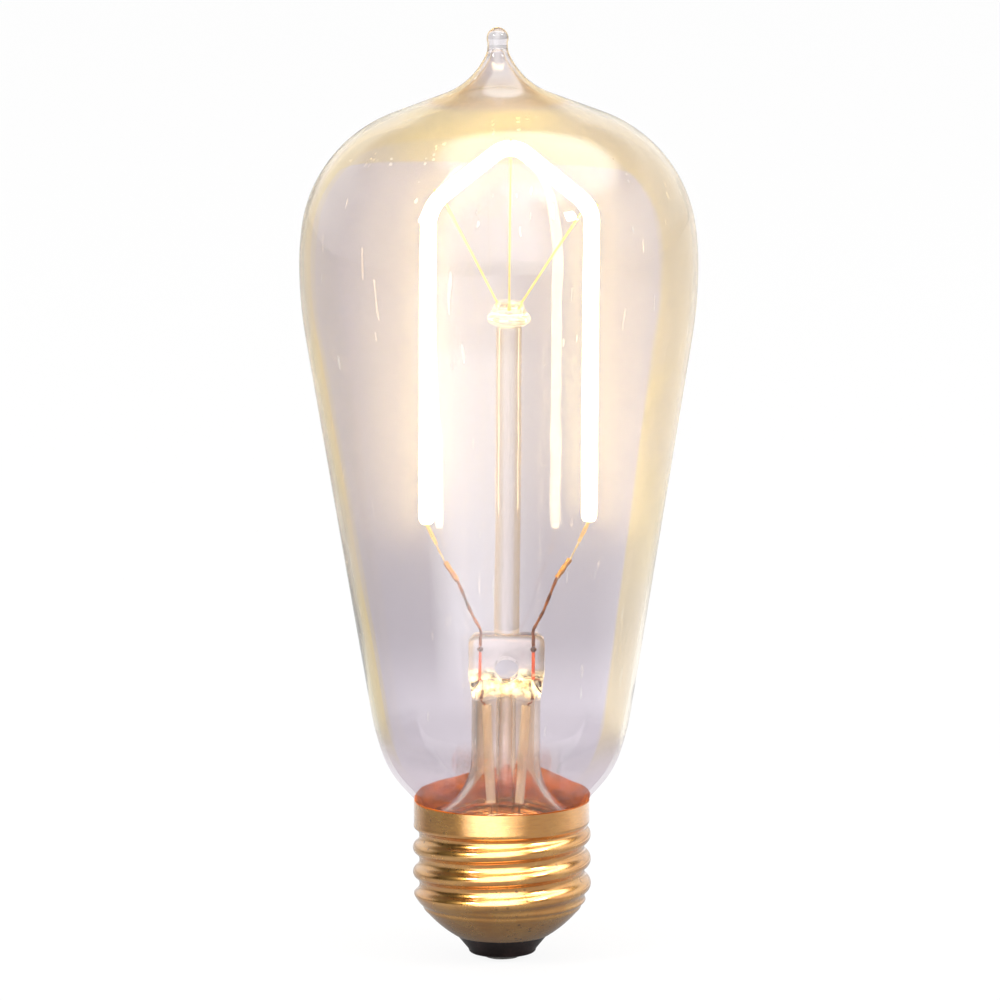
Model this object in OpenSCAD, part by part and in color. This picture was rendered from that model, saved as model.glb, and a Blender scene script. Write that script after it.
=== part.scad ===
// Clear glass filament lamp: tipped pear-shaped bulb, hairpin LED filament, brass screw base.
// Origin on the axis at the lowest plane of the centre contact, +Z to the tip, front towards -Y.

/* [Bulb glass] */
// Largest diameter of the bulb
bulb_d = 58; // [57:0.5:60]
// Height from the centre contact to the top of the tip
overall_length = 137.2; // [136:0.2:140]
// Outer diameter of the glass neck
neck_d = 24.2; // [23.6:0.1:24.2]
// Thickness of the blown glass
glass_wall = 0.7; // [0.5:0.05:0.9]
// Height of the neck's lower edge
neck_bottom = 19.8; // [19.7:0.05:20.2]
// Radius where the neck turns out above the collar
neck_fillet_r = 3.5; // [3:0.1:4]
// Steepest slope of the shoulder above the neck, from the axis
shoulder_angle = 42; // [38:1:45]
// Length of the straight stretch above the neck fillet
shoulder_run = 2.5; // [2:0.1:3.5]
// Tight radius of the shoulder
shoulder_r = 13.7; // [12:0.1:16]
// Radius that leads from the shoulder into the taper
taper_lead_r = 35; // [25:1:45]
// Radius that leads from the taper into the widest place
belly_r = 65; // [50:1:75]
// Radius just above the widest place
crown_lead_r = 40; // [32:1:48]
// Radius of the rounded crown
crown_r = 20.3; // [19:0.1:21]
// Hollow radius where the crown runs up into the tip
tip_fillet_r = 11; // [9:0.5:12]
// Diameter of the narrowest place under the bead
tip_neck_d = 2.96; // [2.6:0.02:3.2]
// Diameter of the bead on the tip
bead_d = 3.2; // [3:0.05:3.6]

/* [Screw shell] */
// Outside diameter over the thread crests, medium screw
thread_d = 26.1; // [26.05:0.05:26.3]
// Rise of the thread in one turn, seven turns to the inch
thread_pitch = 3.629; // [3.5:0.01:3.75]
// Profile radius of crests and grooves
thread_round = 1.1; // [1.05:0.01:1.19]
// Height of a crest on the +X side
crest_height = 7.47; // [7:0.01:8]
// Thickness of the brass sheet
brass_wall = 0.2; // [0.15:0.01:0.25]
// Outside diameter of the plain collar
collar_d = 25.74; // [25.6:0.02:26]
// Height of the collar's lower edge
collar_bottom = 19.8; // [19.2:0.1:20.5]
// Height of the shell's rim
rim_height = 23.48; // [23:0.02:23.8]
// Height of the shell's lower edge
cone_bottom = 3.13; // [2.8:0.01:3.4]
// Diameter of the shell's lower edge
cone_edge_d = 13; // [12.6:0.1:13.4]
// Rounding radius of the cone
cone_round = 18; // [17:0.5:20]

/* [Insulator and contact] */
// Diameter of the insulator's waist
waist_d = 9.7; // [9.4:0.1:10]
// Height of the insulator's waist
waist_height = 1.5; // [1.3:0.05:1.7]
// Diameter of the rounded foot under the waist
foot_d = 9.9; // [9.7:0.05:10.1]
// Height of the insulator's lowest face
foot_height = 0.55; // [0.5:0.01:0.65]
// Depth of the insulator inside the cone
plug_depth = 1.5; // [1.2:0.1:1.8]
// Bore for the contact wire
wire_bore_d = 1.6; // [1.4:0.1:2]
// Diameter of the contact plate
contact_d = 6.8; // [6.4:0.1:7.4]
// Thickness of the contact plate
contact_t = 0.3; // [0.2:0.02:0.34]
// Diameter of the solder dome on the contact
solder_d = 5.8; // [5:0.1:6.2]

/* [Stem] */
// Lean of the whole inner assembly towards +X, in degrees
mount_lean = 0.75; // [0:0.05:1]
// Sideways seat of the inner assembly
mount_shift = 0.5; // [0:0.05:0.5]
// Outside diameter of the stem tube
stem_d = 10.1; // [10:0.05:10.4]
// Wall of the stem tube
stem_wall = 0.9; // [0.7:0.05:0.9]
// Diameter of the flared foot of the stem
flare_d = 21; // [20:0.1:21.2]
// Angle through which the foot flares
flare_angle = 70; // [60:1:75]
// Length of the straight tube above the flare
tube_length = 9; // [8.5:0.1:9.5]
// Height of the crown between tube and press
crown_height = 4; // [3.6:0.1:4.4]
// Height of the flat press
press_height = 5.9; // [5.5:0.1:6.4]
// Width of the flat press
press_w = 11.16; // [11:0.02:11.6]
// Thickness of the flat press
press_t = 4.6; // [4.4:0.1:5]
// Rounding of the press's upper corners
press_round = 1.4; // [1:0.1:1.7]
// Diameter of the port blown through the press
port_d = 3.6; // [3:0.1:3.8]
// Outside diameter of the exhaust tube
exhaust_d = 2.9; // [2.7:0.05:3]
// Wall of the exhaust tube
exhaust_wall = 0.5; // [0.4:0.05:0.6]
// Height of the exhaust tube's melted end
exhaust_bottom = 13; // [12.5:0.1:14]

/* [Arbor and hooks] */
// Diameter of the glass rod on the press
rod_d = 3.75; // [3.6:0.05:4]
// Diameter of the button's flange
button_d = 6.35; // [6.1:0.05:6.8]
// Diameter of the button's top
button_top_d = 4.1; // [4:0.05:4.4]
// Height of the button
button_height = 3.7; // [3.4:0.1:4]
// Thickness of the hook wires
hook_wire_d = 0.32; // [0.28:0.02:0.36]
// Depth of the hook wires in the button
hook_root = 1.5; // [1.2:0.1:1.8]
// Play between a hook and the filament coat
hook_play = 0.04; // [0.03:0.01:0.08]
// Distance of the left hook from the left bend, along the filament
left_hook_offset = 2.2; // [2:0.1:3]

/* [Filament] */
// Diameter of the silicone coat
filament_d = 2.3; // [2.2:0.05:2.5]
// Distance between the centrelines of the two legs
leg_span = 23.7; // [23.2:0.1:24.2]
// Height of the left leg's end over the press
left_end_rise = 16.1; // [15.6:0.1:17]
// Height of the right leg's end over the press
right_end_rise = 16.7; // [16.2:0.1:17.5]
// Depth of the arch's peak under the top of the tip
peak_depth = 16.5; // [15.5:0.1:18]
// Rise of the arch from the bends to its peak
arch_rise = 9.7; // [9.2:0.1:10.2]
// Height of the arch's peak over the button
peak_over_button = 23.4; // [23:0.1:24]
// Bending radius of the filament
filament_bend_r = 3.4; // [3:0.1:3.6]
// Width of the flexible strip
strip_w = 1.2; // [1.1:0.05:1.25]
// Thickness of the flexible strip
strip_t = 0.15; // [0.1:0.01:0.18]
// Length of one LED chip
chip_l = 0.6; // [0.5:0.05:0.7]
// Width of one LED chip
chip_w = 0.4; // [0.3:0.05:0.5]
// Height of one LED chip
chip_h = 0.2; // [0.15:0.01:0.22]
// Distance between LED chips along the strip
chip_pitch = 1.5; // [1.3:0.1:2]
// Play of the strip and chips in the coat
coat_play = 0.03; // [0.02:0.005:0.05]

/* [Leads] */
// Length of the gold end tabs
tab_length = 3.4; // [3:0.1:3.6]
// Width of the gold end tabs
tab_w = 0.8; // [0.7:0.05:1]
// Thickness of one leaf of a tab
tab_t = 0.15; // [0.12:0.01:0.2]
// Thickness of the pale tail wires
tail_wire_d = 0.24; // [0.2:0.02:0.26]
// Diameter of the lead crimps
crimp_d = 0.76; // [0.72:0.01:0.85]
// Thickness of the brown inner leads
lead_d = 0.45; // [0.4:0.01:0.46]
// Distance of the seal wires from the stem's axis
seal_offset = 3.75; // [3.7:0.01:3.8]
// Thickness of the red seal wires
seal_wire_d = 0.4; // [0.34:0.02:0.42]
// Diameter of the weld knots in the press
knot_d = 0.8; // [0.7:0.02:0.84]
// Height of the knots over the crown
knot_height = 3.6; // [3.3:0.1:3.9]
// Thickness of the outer leads
outer_lead_d = 0.26; // [0.22:0.02:0.3]
// Outside diameter of the sleeves on the outer leads
sleeve_d = 1.4; // [1.3:0.02:1.44]
// Bore of the sleeves
sleeve_bore = 0.9; // [0.8:0.02:0.96]

/* [Driver in the base] */
// Diameter of the driver board
board_d = 19.2; // [18.6:0.1:19.6]
// Thickness of the driver board
board_t = 0.8; // [0.6:0.1:1]
// Diameter of the smoothing capacitor
capacitor_d = 5; // [4.5:0.1:5.2]
// Length of the smoothing capacitor
capacitor_l = 6; // [5:0.1:6.2]
// Length of the bridge rectifier
rectifier_l = 4.7; // [4.4:0.1:5]
// Width of the bridge rectifier
rectifier_w = 3.8; // [3.5:0.1:4]
// Height of the bridge rectifier
rectifier_h = 1.6; // [1.4:0.1:1.8]
// Length of the driver chip
driver_l = 4.9; // [4.6:0.1:5.1]
// Width of the driver chip
driver_w = 3.9; // [3.6:0.1:4]
// Height of the driver chip
driver_h = 1.5; // [1.3:0.1:1.7]
// Diameter of the fuse resistor's body
resistor_d = 2.2; // [2:0.1:2.4]
// Length of the fuse resistor's body
resistor_l = 5.5; // [5:0.1:6]
// Thickness of the wires to the shell and the centre contact
link_wire_d = 0.6; // [0.5:0.05:0.7]

/* [Hidden] */
$fn = 64;

// Play between pieces that are fused, cemented or pressed together
seat_play = 0.03;
// Gap under the stem's foot, which lets it lean
foot_gap = 0.2;

// Bulb glass: a point is [radius, height, slope], the slope counted from the axis, outwards
bulb_r = bulb_d / 2;
neck_r = neck_d / 2;
seal_lip = 0.8;
seal_top = neck_bottom + seal_lip;
seal_r = flare_d / 2 - 1.2;
// Depth below the rim at which the neck starts to turn out
fillet_sink = 1.69;
fillet_start = rim_height - fillet_sink;
// Slope at which the shoulder runs into the taper
shoulder_exit = 20;
crown_lead_angle = 8.4;
crown_angle = 69;
tip_angle = 24;
tip_round = 2.5;
bead_r = bead_d / 2;
bead_join = 22;
tip_neck_height = overall_length - bead_r - 1.3;

function normal_at(a) = [cos(a), -sin(a)];
function arc_centre(p, r) = [p[0], p[1]] - r * normal_at(p[2]);
function arc_point(c, r, a) = [c[0] + r * cos(a), c[1] - r * sin(a), a];
function arc_points(c, r, a0, a1, n, first = 0) =
    [for (i = [first:n]) arc_point(c, r, a0 + (a1 - a0) * i / n)];

fillet_c = [neck_r + neck_fillet_r, fillet_start];
fillet_end = arc_point(fillet_c, -neck_fillet_r, shoulder_angle);
run_end = fillet_end + [shoulder_run * sin(shoulder_angle), shoulder_run * cos(shoulder_angle), 0];
shoulder_c = arc_centre(run_end, shoulder_r);
shoulder_end = arc_point(shoulder_c, shoulder_r, shoulder_exit);
taper_c = arc_centre(shoulder_end, taper_lead_r);

tip_c = [tip_neck_d / 2 + tip_round, tip_neck_height];
tip_start = arc_point(tip_c, -tip_round, -tip_angle);
tip_fillet_c = arc_centre(tip_start, -tip_fillet_r);
tip_foot = arc_point(tip_fillet_c, -tip_fillet_r, -crown_angle);
crown_width = crown_lead_r * (1 - cos(crown_lead_angle))
    + crown_r * (cos(crown_lead_angle) - cos(crown_angle));
crown_reach = crown_lead_r * sin(crown_lead_angle)
    + crown_r * (sin(crown_angle) - sin(crown_lead_angle));
crown_run = (bulb_r - crown_width - tip_foot[0]) / sin(crown_angle);
belly_height = tip_foot[1] - crown_run * cos(crown_angle) - crown_reach;
belly_c = [bulb_r - belly_r, belly_height];
crown_lead_c = [bulb_r - crown_lead_r, belly_height];
crown_c = arc_centre(arc_point(crown_lead_c, crown_lead_r, -crown_lead_angle), crown_r);
taper_line = belly_c - taper_c;
taper_angle = atan2(taper_line[0], taper_line[1]) + asin((belly_r - taper_lead_r) / norm(taper_line));

// An arc that goes on from the one before it leaves out its first point
glass_path = concat(
    [[neck_r, seal_top, 0]],
    arc_points(fillet_c, -neck_fillet_r, 0, shoulder_angle, 5),
    arc_points(shoulder_c, shoulder_r, shoulder_angle, shoulder_exit, 4),
    arc_points(taper_c, taper_lead_r, shoulder_exit, taper_angle, 3, 1),
    arc_points(belly_c, belly_r, taper_angle, 0, 3),
    arc_points(crown_lead_c, crown_lead_r, 0, -crown_lead_angle, 2, 1),
    arc_points(crown_c, crown_r, -crown_lead_angle, -crown_angle, 10, 1),
    arc_points(tip_fillet_c, -tip_fillet_r, -crown_angle, -tip_angle, 7)
);
function inside(p, t) = [p[0] - t * cos(p[2]), p[1] + t * sin(p[2])];
function outline(path) = [for (p = path) [p[0], p[1]]];

// Outer radius of the glass at a height within the neck fillet
function fillet_radius(z) = let (rise = min(z, fillet_end[1]) - fillet_start) neck_r + (rise <= 0 ? 0 :
    neck_fillet_r - sqrt(pow(neck_fillet_r, 2) - pow(rise, 2))
    + max(z - fillet_end[1], 0) * tan(shoulder_angle));

// Screw shell: outer radius at an angle and a height
thread_swing = asin(thread_pitch / 4 / thread_round);
thread_depth = 2 * thread_round * (1 - cos(thread_swing));
shell_steps = 48;
cone_slope = 60;
// Half the height over which the thread fades into the collar
collar_blend = 0.6;
// Height above which the thread clears the cone
thread_start = 7.2;
cone_c = [cone_edge_d / 2 - cone_round * cos(cone_slope), cone_bottom + cone_round * sin(cone_slope)];
function off_crest(a, z) = let (t = (z - crest_height) / thread_pitch - a / 360)
    abs(t - round(t)) * thread_pitch;
function thread_radius(a, z) = let (u = off_crest(a, z), v = thread_pitch / 2 - u) u <= thread_pitch / 4
    ? thread_d / 2 - thread_round + sqrt(pow(thread_round, 2) - pow(u, 2))
    : thread_d / 2 - thread_depth + thread_round - sqrt(pow(thread_round, 2) - pow(v, 2));
function ease(t) = let (s = min(max(t, 0), 1)) s * s * (3 - 2 * s);
function cone_radius(z, r) = cone_c[0] + sqrt(pow(r, 2) - pow(cone_c[1] - min(z, cone_c[1]), 2));
function wall_radius(a, z) = let (w = ease((z - collar_bottom) / (2 * collar_blend) + 0.5))
    thread_radius(a, z) * (1 - w) + collar_d / 2 * w;
function shell_outer(a, z) = min(wall_radius(a, z), cone_radius(z, cone_round));
function shell_inner(a, z) = min(wall_radius(a, z) - brass_wall, cone_radius(z, cone_round - brass_wall));
shell_heights = concat(
    [for (i = [0:6]) cone_bottom + (thread_start - cone_bottom) * i / 6],
    [for (i = [1:27]) thread_start + (collar_bottom + collar_blend - thread_start) * i / 27],
    [rim_height - 1.6, rim_height - 0.5, rim_height]
);

// Stem, arbor and filament stand in the leaning frame of the mount
stem_r = stem_d / 2;
flare_r = (flare_d / 2 - stem_r) / (1 - cos(flare_angle));
flare_top = seal_top + foot_gap + (flare_r + stem_wall) * sin(flare_angle);
crown_bottom = flare_top + tube_length;
press_bottom = crown_bottom + crown_height;
press_top = press_bottom + press_height;
port_height = press_bottom + 0.6;
exhaust_top = port_height - port_d / 2 - 0.25;
peak_height = overall_length - peak_depth;
button_top = peak_height - peak_over_button;
button_bottom = button_top - button_height;
rod_length = button_bottom - press_top;
bend_height = peak_height - arch_rise;
left_leg = bend_height - press_top - left_end_rise;
right_leg = bend_height - press_top - right_end_rise;
half_span = leg_span / 2;
slant = atan2(half_span, arch_rise);
filament_r = filament_d / 2;

// Filament centreline as a turtle path: [length or radius, turn], the turn 0 on a straight stretch
side_tangent = filament_bend_r * tan(slant / 2);
peak_tangent = filament_bend_r * tan(90 - slant);
slant_length = norm([half_span, arch_rise]) - side_tangent - peak_tangent;
stretches = [
    [left_leg - side_tangent, 0], [filament_bend_r, slant], [slant_length, 0],
    [filament_bend_r, 180 - 2 * slant], [slant_length, 0], [filament_bend_r, slant],
    [right_leg - side_tangent, 0]
];
function stretch_length(s) = s[1] == 0 ? s[0] : s[0] * s[1] * PI / 180;
function heading(p) = [sin(p[2]), cos(p[2])];
function inward(p) = [cos(p[2]), -sin(p[2])];
function move_on(p, s, d) =
    let (turn = s[1] == 0 ? 0 : d / s[0] * 180 / PI, c = [p[0], p[1]] + s[0] * inward(p))
    s[1] == 0 ? [p[0] + d * sin(p[2]), p[1] + d * cos(p[2]), p[2]]
    : [c[0] - s[0] * cos(p[2] + turn), c[1] + s[0] * sin(p[2] + turn), p[2] + turn];
filament_start = [-half_span, bend_height - left_leg, 0];
function stretch_start(i) = i == 0 ? filament_start
    : move_on(stretch_start(i - 1), stretches[i - 1], stretch_length(stretches[i - 1]));
function along(d, i = 0) = let (l = stretch_length(stretches[i]))
    d <= l || i == len(stretches) - 1 ? move_on(stretch_start(i), stretches[i], d) : along(d - l, i + 1);
function total(i = 0) = i == len(stretches) ? 0 : stretch_length(stretches[i]) + total(i + 1);
filament_length = total();
channel_h = strip_t + chip_h + 2 * coat_play;
channel_w = strip_w + 2 * coat_play;

// Hooks: the place on the filament that each one holds
peak_place = along(stretch_length(stretches[0]) + stretch_length(stretches[1]) + slant_length
    + stretch_length(stretches[3]) / 2);
left_place = along(left_leg + stretch_length(stretches[1]) + left_hook_offset - 2 * side_tangent);
right_place = along(filament_length - right_leg + side_tangent - stretch_length(stretches[5]) / 2);
hook_reach = filament_r + hook_wire_d / 2 + hook_play;
// Hook wires: where each leaves the button and how far it leans, from left to right
root_height = button_top - 0.3;
root_spread = button_top_d / 2 - 0.3;
hook_roots = [[-root_spread, root_height], [0, root_height], [root_spread, root_height]];
hook_leans = [-27.5, -1, 35];

// Tube of even thickness along a list of points, with rings square to the path
function unit(v) = v / norm(v);
function tangent(p, i) = unit(p[min(i + 1, len(p) - 1)] - p[max(i - 1, 0)]);
module wire(p, d, ref = [0, 1, 0], sides = 8) {
    solid_of_rings([for (i = [0:len(p) - 1])
        let (t = tangent(p, i), u = unit(cross(t, ref)), v = cross(t, u))
        [for (k = [0:sides - 1]) p[i] + d / 2 * (cos(360 * k / sides) * u + sin(360 * k / sides) * v)]]);
}
// Solid through a list of rings, closed at both ends
module solid_of_rings(rings) {
    n = len(rings);
    sides = len(rings[0]);
    faces_round = [for (i = [0:n - 2]) for (k = [0:sides - 1]) let (m = (k + 1) % sides) each [
        [i * sides + k, (i + 1) * sides + k, i * sides + m],
        [i * sides + m, (i + 1) * sides + k, (i + 1) * sides + m]
    ]];
    faces_at_ends = [for (k = [1:sides - 2]) each [
        [0, k, k + 1],
        [(n - 1) * sides, (n - 1) * sides + k + 1, (n - 1) * sides + k]
    ]];
    polyhedron([for (r = rings) each r], concat(faces_round, faces_at_ends), 10);
}
// Smooth run through hand-placed points
function curve_point(a, b, c, d, t) = 0.5 * (2 * b + (c - a) * t + (2 * a - 5 * b + 4 * c - d) * t * t
    + (3 * b - a - 3 * c + d) * t * t * t);
function smooth_run(p, n) = [for (i = [0:len(p) - 2]) for (k = [0:n - 1])
    curve_point(p[max(i - 1, 0)], p[i], p[i + 1], p[min(i + 2, len(p) - 1)], k / n), p[len(p) - 1]];

// Ring-shaped skin between an outer and an inner radius, both functions of angle and level
module skin(outer, inner, steps) {
    levels = len(outer);
    function ring(level, k) = level * steps + k % steps;
    points = concat(
        [for (l = outer) each l],
        [for (l = inner) each l]
    );
    last = levels - 1;
    faces = concat(
        [for (l = [0:levels - 2]) for (k = [0:steps - 1]) each [
            [ring(l, k), ring(l + 1, k), ring(l, k + 1)],
            [ring(l, k + 1), ring(l + 1, k), ring(l + 1, k + 1)],
            [ring(levels + l, k), ring(levels + l, k + 1), ring(levels + l + 1, k)],
            [ring(levels + l, k + 1), ring(levels + l + 1, k + 1), ring(levels + l + 1, k)]
        ]],
        [for (k = [0:steps - 1]) each [
            [ring(0, k), ring(0, k + 1), ring(levels, k)],
            [ring(0, k + 1), ring(levels, k + 1), ring(levels, k)],
            [ring(last, k), ring(levels + last, k), ring(last, k + 1)],
            [ring(last, k + 1), ring(levels + last, k), ring(levels + last, k + 1)]
        ]]
    );
    polyhedron(points, faces, 10);
}
function on_ring(r, a, z) = [r * cos(a), r * sin(a), z];
// Point of the front plane, from its sideways place and its height
function spatial(p) = [p[0], 0, p[1]];

// The same lean for a single point
function mounted(p) = let (up = p[2] - seal_top) [
    mount_shift + p[0] * cos(mount_lean) + up * sin(mount_lean), p[1],
    seal_top + up * cos(mount_lean) - p[0] * sin(mount_lean)
];
module on_mount() {
    translate([mount_shift, 0, seal_top]) rotate([0, mount_lean, 0]) translate([0, 0, -seal_top])
        children();
}

module glass_envelope() {
    bead = [for (a = [-bead_join:14:90]) [bead_r * cos(a), overall_length - bead_r + bead_r * sin(a)]];
    hollow_top = inside(glass_path[len(glass_path) - 1], glass_wall);
    color("lavenderblush", 0.35) rotate_extrude($fn = 128) polygon(concat(
        [[seal_r, neck_bottom], [neck_r, neck_bottom]],
        outline(glass_path),
        outline([for (a = [-tip_angle + 8:8:0]) arc_point(tip_c, -tip_round, a)]),
        bead,
        [[0, overall_length], [0, hollow_top[1] + 0.5]],
        [for (i = [len(glass_path) - 1:-1:0]) inside(glass_path[i], glass_wall)],
        [[seal_r, seal_top]]
    ));
}

module stem_tube() {
    flare_c = [stem_r + flare_r, flare_top];
    flare_steps = 7;
    function flare_point(r, i) = let (a = flare_angle * i / flare_steps)
        [flare_c[0] - r * cos(a), flare_c[1] - r * sin(a)];
    inner_r = stem_r - stem_wall;
    hollow_top = press_bottom - 1.2;
    hollow_half = 1.3;
    over = 0.01;
    color("mistyrose", 0.45) on_mount() difference() {
        union() {
            rotate_extrude() polygon(concat(
                [[inner_r, crown_bottom], [stem_r, crown_bottom]],
                [for (i = [0:flare_steps]) flare_point(flare_r, i)],
                [for (i = [flare_steps:-1:0]) flare_point(flare_r + stem_wall, i)]
            ));
            intersection() {
                translate([0, 0, crown_bottom]) cylinder(h = crown_height, r1 = stem_r, r2 = press_w / 2);
                rotate([90, 0, 90]) translate([0, 0, -press_w]) linear_extrude(2 * press_w) polygon([
                    [-stem_r, crown_bottom], [stem_r, crown_bottom],
                    [press_t / 2, press_bottom], [-press_t / 2, press_bottom]
                ]);
            }
            intersection() {
                translate([0, 0, press_bottom]) linear_extrude(press_height) {
                    square([press_w - press_t, press_t], center = true);
                    for (s = [-1, 1]) translate([s * (press_w - press_t) / 2, 0]) circle(d = press_t);
                }
                rotate([90, 0, 0]) translate([0, 0, -press_t]) linear_extrude(2 * press_t) {
                    translate([-press_w / 2, press_bottom]) square([press_w, press_height - press_round]);
                    translate([press_round - press_w / 2, press_top - press_round])
                        square([press_w - 2 * press_round, press_round]);
                    for (s = [-1, 1]) translate([s * (press_w / 2 - press_round), press_top - press_round])
                        circle(r = press_round);
                }
            }
        }
        intersection() {
            translate([0, 0, crown_bottom - over])
                cylinder(h = hollow_top - crown_bottom + over, r1 = inner_r, r2 = inner_r - 0.3);
            rotate([90, 0, 90]) translate([0, 0, -press_w]) linear_extrude(2 * press_w) polygon([
                [-stem_r, crown_bottom - over], [stem_r, crown_bottom - over],
                [hollow_half, hollow_top], [-hollow_half, hollow_top]
            ]);
        }
        translate([0, 0, port_height]) rotate([90, 0, 0]) cylinder(h = press_t, d = port_d);
        for (s = [-1, 1]) {
            translate([s * seal_offset, 0, crown_bottom])
                cylinder(h = press_top - crown_bottom + over, d = seal_wire_d + 2 * seat_play);
            translate([s * seal_offset, 0, press_bottom + knot_height])
                cylinder(h = press_height, d = lead_d + 2 * seat_play);
            translate([s * seal_offset, 0, press_bottom + knot_height - knot_d / 2 - seat_play])
                cylinder(h = knot_d + 2 * seat_play, d = knot_d + 2 * seat_play);
        }
    }
}

module exhaust_tube() {
    r = exhaust_d / 2;
    bore_r = r - exhaust_wall;
    tip = 1.8;
    tip_steps = 5;
    function tip_point(k, width, rise) = let (a = 90 * k / tip_steps)
        [width * sin(a), exhaust_bottom + rise + tip * (1 - cos(a))];
    color("mistyrose", 0.45) on_mount() rotate_extrude() polygon(concat(
        [for (k = [0:tip_steps]) tip_point(k, r, 0)],
        [[r, exhaust_top], [bore_r, exhaust_top]],
        [for (k = [tip_steps:-1:0]) tip_point(k, bore_r, 1.5 * exhaust_wall)]
    ));
}

module arbor_rod() {
    color("mistyrose", 0.45) on_mount() translate([0, 0, press_top]) cylinder(h = rod_length, d = rod_d);
}

module arbor_button() {
    flange_low = button_bottom + 0.55;
    flange_high = flange_low + 1.1;
    flange_round = 0.4;
    top_round = 0.5;
    function corner(x, z, r, a) = [x - r + r * cos(a), z + r * sin(a)];
    color("mistyrose", 0.5) on_mount() difference() {
        rotate_extrude() polygon(concat(
            [[0, button_bottom], [rod_d / 2 + 0.15, button_bottom]],
            [for (a = [-60:30:0]) corner(button_d / 2, flange_low + flange_round, flange_round, a)],
            [for (a = [0:30:60]) corner(button_d / 2, flange_high - flange_round, flange_round, a)],
            [for (a = [0:30:90]) corner(button_top_d / 2, button_top - top_round, top_round, a)],
            [[0, button_top]]
        ));
        for (i = [0:2]) translate(spatial(hook_roots[i])) rotate([0, hook_leans[i], 0])
            translate([0, 0, -hook_root]) cylinder(h = 4 * hook_root, d = hook_wire_d + 2 * seat_play);
    }
}

// Hook wire: straight root in the button, a run to the filament and a hook round its coat
module hook_wire(i, place, sweep) {
    root = spatial(hook_roots[i]);
    out = [sin(hook_leans[i]), 0, cos(hook_leans[i])];
    away = spatial(-inward(place));
    hook = [for (a = [150:-30:sweep]) spatial(place) + hook_reach * (cos(a) * away + [0, sin(a), 0])];
    from = root + 0.8 * out;
    span = hook[0] - from;
    run = smooth_run([from, from + 0.4 * span - 0.12 * away, from + 0.85 * span, hook[0]], 3);
    color("goldenrod") on_mount()
        wire(concat([root - (hook_root - 0.05) * out, root], run, [for (k = [1:len(hook) - 1]) hook[k]]),
            hook_wire_d, spatial(heading(place)));
}
hook_sweep = -30;
module support_wire_left() hook_wire(0, left_place, hook_sweep);
module support_wire_top() hook_wire(1, peak_place, hook_sweep);
module support_wire_right() hook_wire(2, right_place, hook_sweep);

// Stations of the filament's centreline, close together only in the bends
stations = concat(
    [for (i = [0:len(stretches) - 1]) let (s = stretches[i], n = ceil(s[1] / 6.5 + 0.1))
        for (k = [0:n - 1]) move_on(stretch_start(i), s, stretch_length(s) * k / n)],
    [along(filament_length)]
);
// Place beside the centreline: x counts to the inside of the bend, y is across it
function beside(p, x, y) = [p[0] + x * cos(p[2]), y, p[1] - x * sin(p[2])];

module filament_strip() {
    low = channel_h / 2 - coat_play - strip_t;
    section = [[low, -1], [low + strip_t, -1], [low + strip_t, 1], [low, 1]];
    color("khaki") on_mount() solid_of_rings([for (p = stations)
        [for (c = section) beside(p, c[0], c[1] * strip_w / 2)]]);
}

module led_chips() {
    count = floor(filament_length / chip_pitch);
    start = (filament_length - (count - 1) * chip_pitch) / 2;
    color("lightyellow") on_mount() for (k = [0:count - 1]) {
        p = along(start + k * chip_pitch);
        translate([p[0], 0, p[1]]) rotate([0, p[2], 0])
            translate([-channel_h / 2 + coat_play, -chip_w / 2, -chip_l / 2])
                cube([chip_h, chip_w, chip_l]);
    }
}

module phosphor_coat() {
    steps = 16;
    side = [-1, -0.5, 0, 0.5];
    channel = concat(
        [for (t = side) [1, t]], [for (t = side) [-t, 1]],
        [for (t = side) [-1, -t]], [for (t = side) [t, -1]]
    );
    turn = [for (k = [0:steps - 1]) 360 * k / steps - 45];
    color("gold") on_mount() skin(
        [for (p = stations) [for (a = turn) beside(p, filament_r * cos(a), filament_r * sin(a))]],
        [for (p = stations) [for (c = channel) beside(p, c[0] * channel_h / 2, c[1] * channel_w / 2)]],
        steps
    );
}

// Leads: s is -1 on the left and 1 on the right
function leg_end(s) = [s * half_span, bend_height - (s < 0 ? left_leg : right_leg)];
function tab_end(s) = leg_end(s) + tab_length * [-s * sin(tab_lean), -cos(tab_lean)];
tab_lean = 26;
crimp_lean = 34;
crimp_length = 3.3;
// Sideways reach and drop of a tail wire, from its tab to its crimp
tail_run = [1.25, 2.6];
function crimp_top(s) = tab_end(s) + [-s * tail_run[0], -tail_run[1]];
function crimp_bottom(s) = crimp_top(s) + crimp_length * [-s * sin(crimp_lean), -cos(crimp_lean)];

module filament_tab(s) {
    fold = 0.14;
    half = fold / 2 + tab_t;
    top = tab_length - half * sin(tab_lean) - seat_play;
    color("darkgoldenrod") on_mount() translate(spatial(leg_end(s))) rotate([0, s * tab_lean, 0])
        translate([0, 0, -tab_length]) {
            for (x = [-half, fold / 2]) translate([x, -tab_w / 2, 0]) cube([tab_t, tab_w, top]);
            translate([-half, -tab_w / 2, top - tab_t]) cube([2 * half, tab_w, tab_t]);
        }
}
module filament_tab_left() filament_tab(-1);
module filament_tab_right() filament_tab(1);

module tail_wire(s) {
    d = tail_wire_d;
    top = tab_end(s) + [-s * seat_play, -2 * seat_play - d / 2];
    into = unit(crimp_bottom(s) - crimp_top(s));
    color("wheat") on_mount() wire([
        spatial(top), spatial(top + [-s * 0.5, -1.1]), spatial(crimp_top(s) - 0.3 * into),
        spatial(crimp_top(s) + 0.9 * into)
    ], d);
}
module tail_wire_left() tail_wire(-1);
module tail_wire_right() tail_wire(1);

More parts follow.
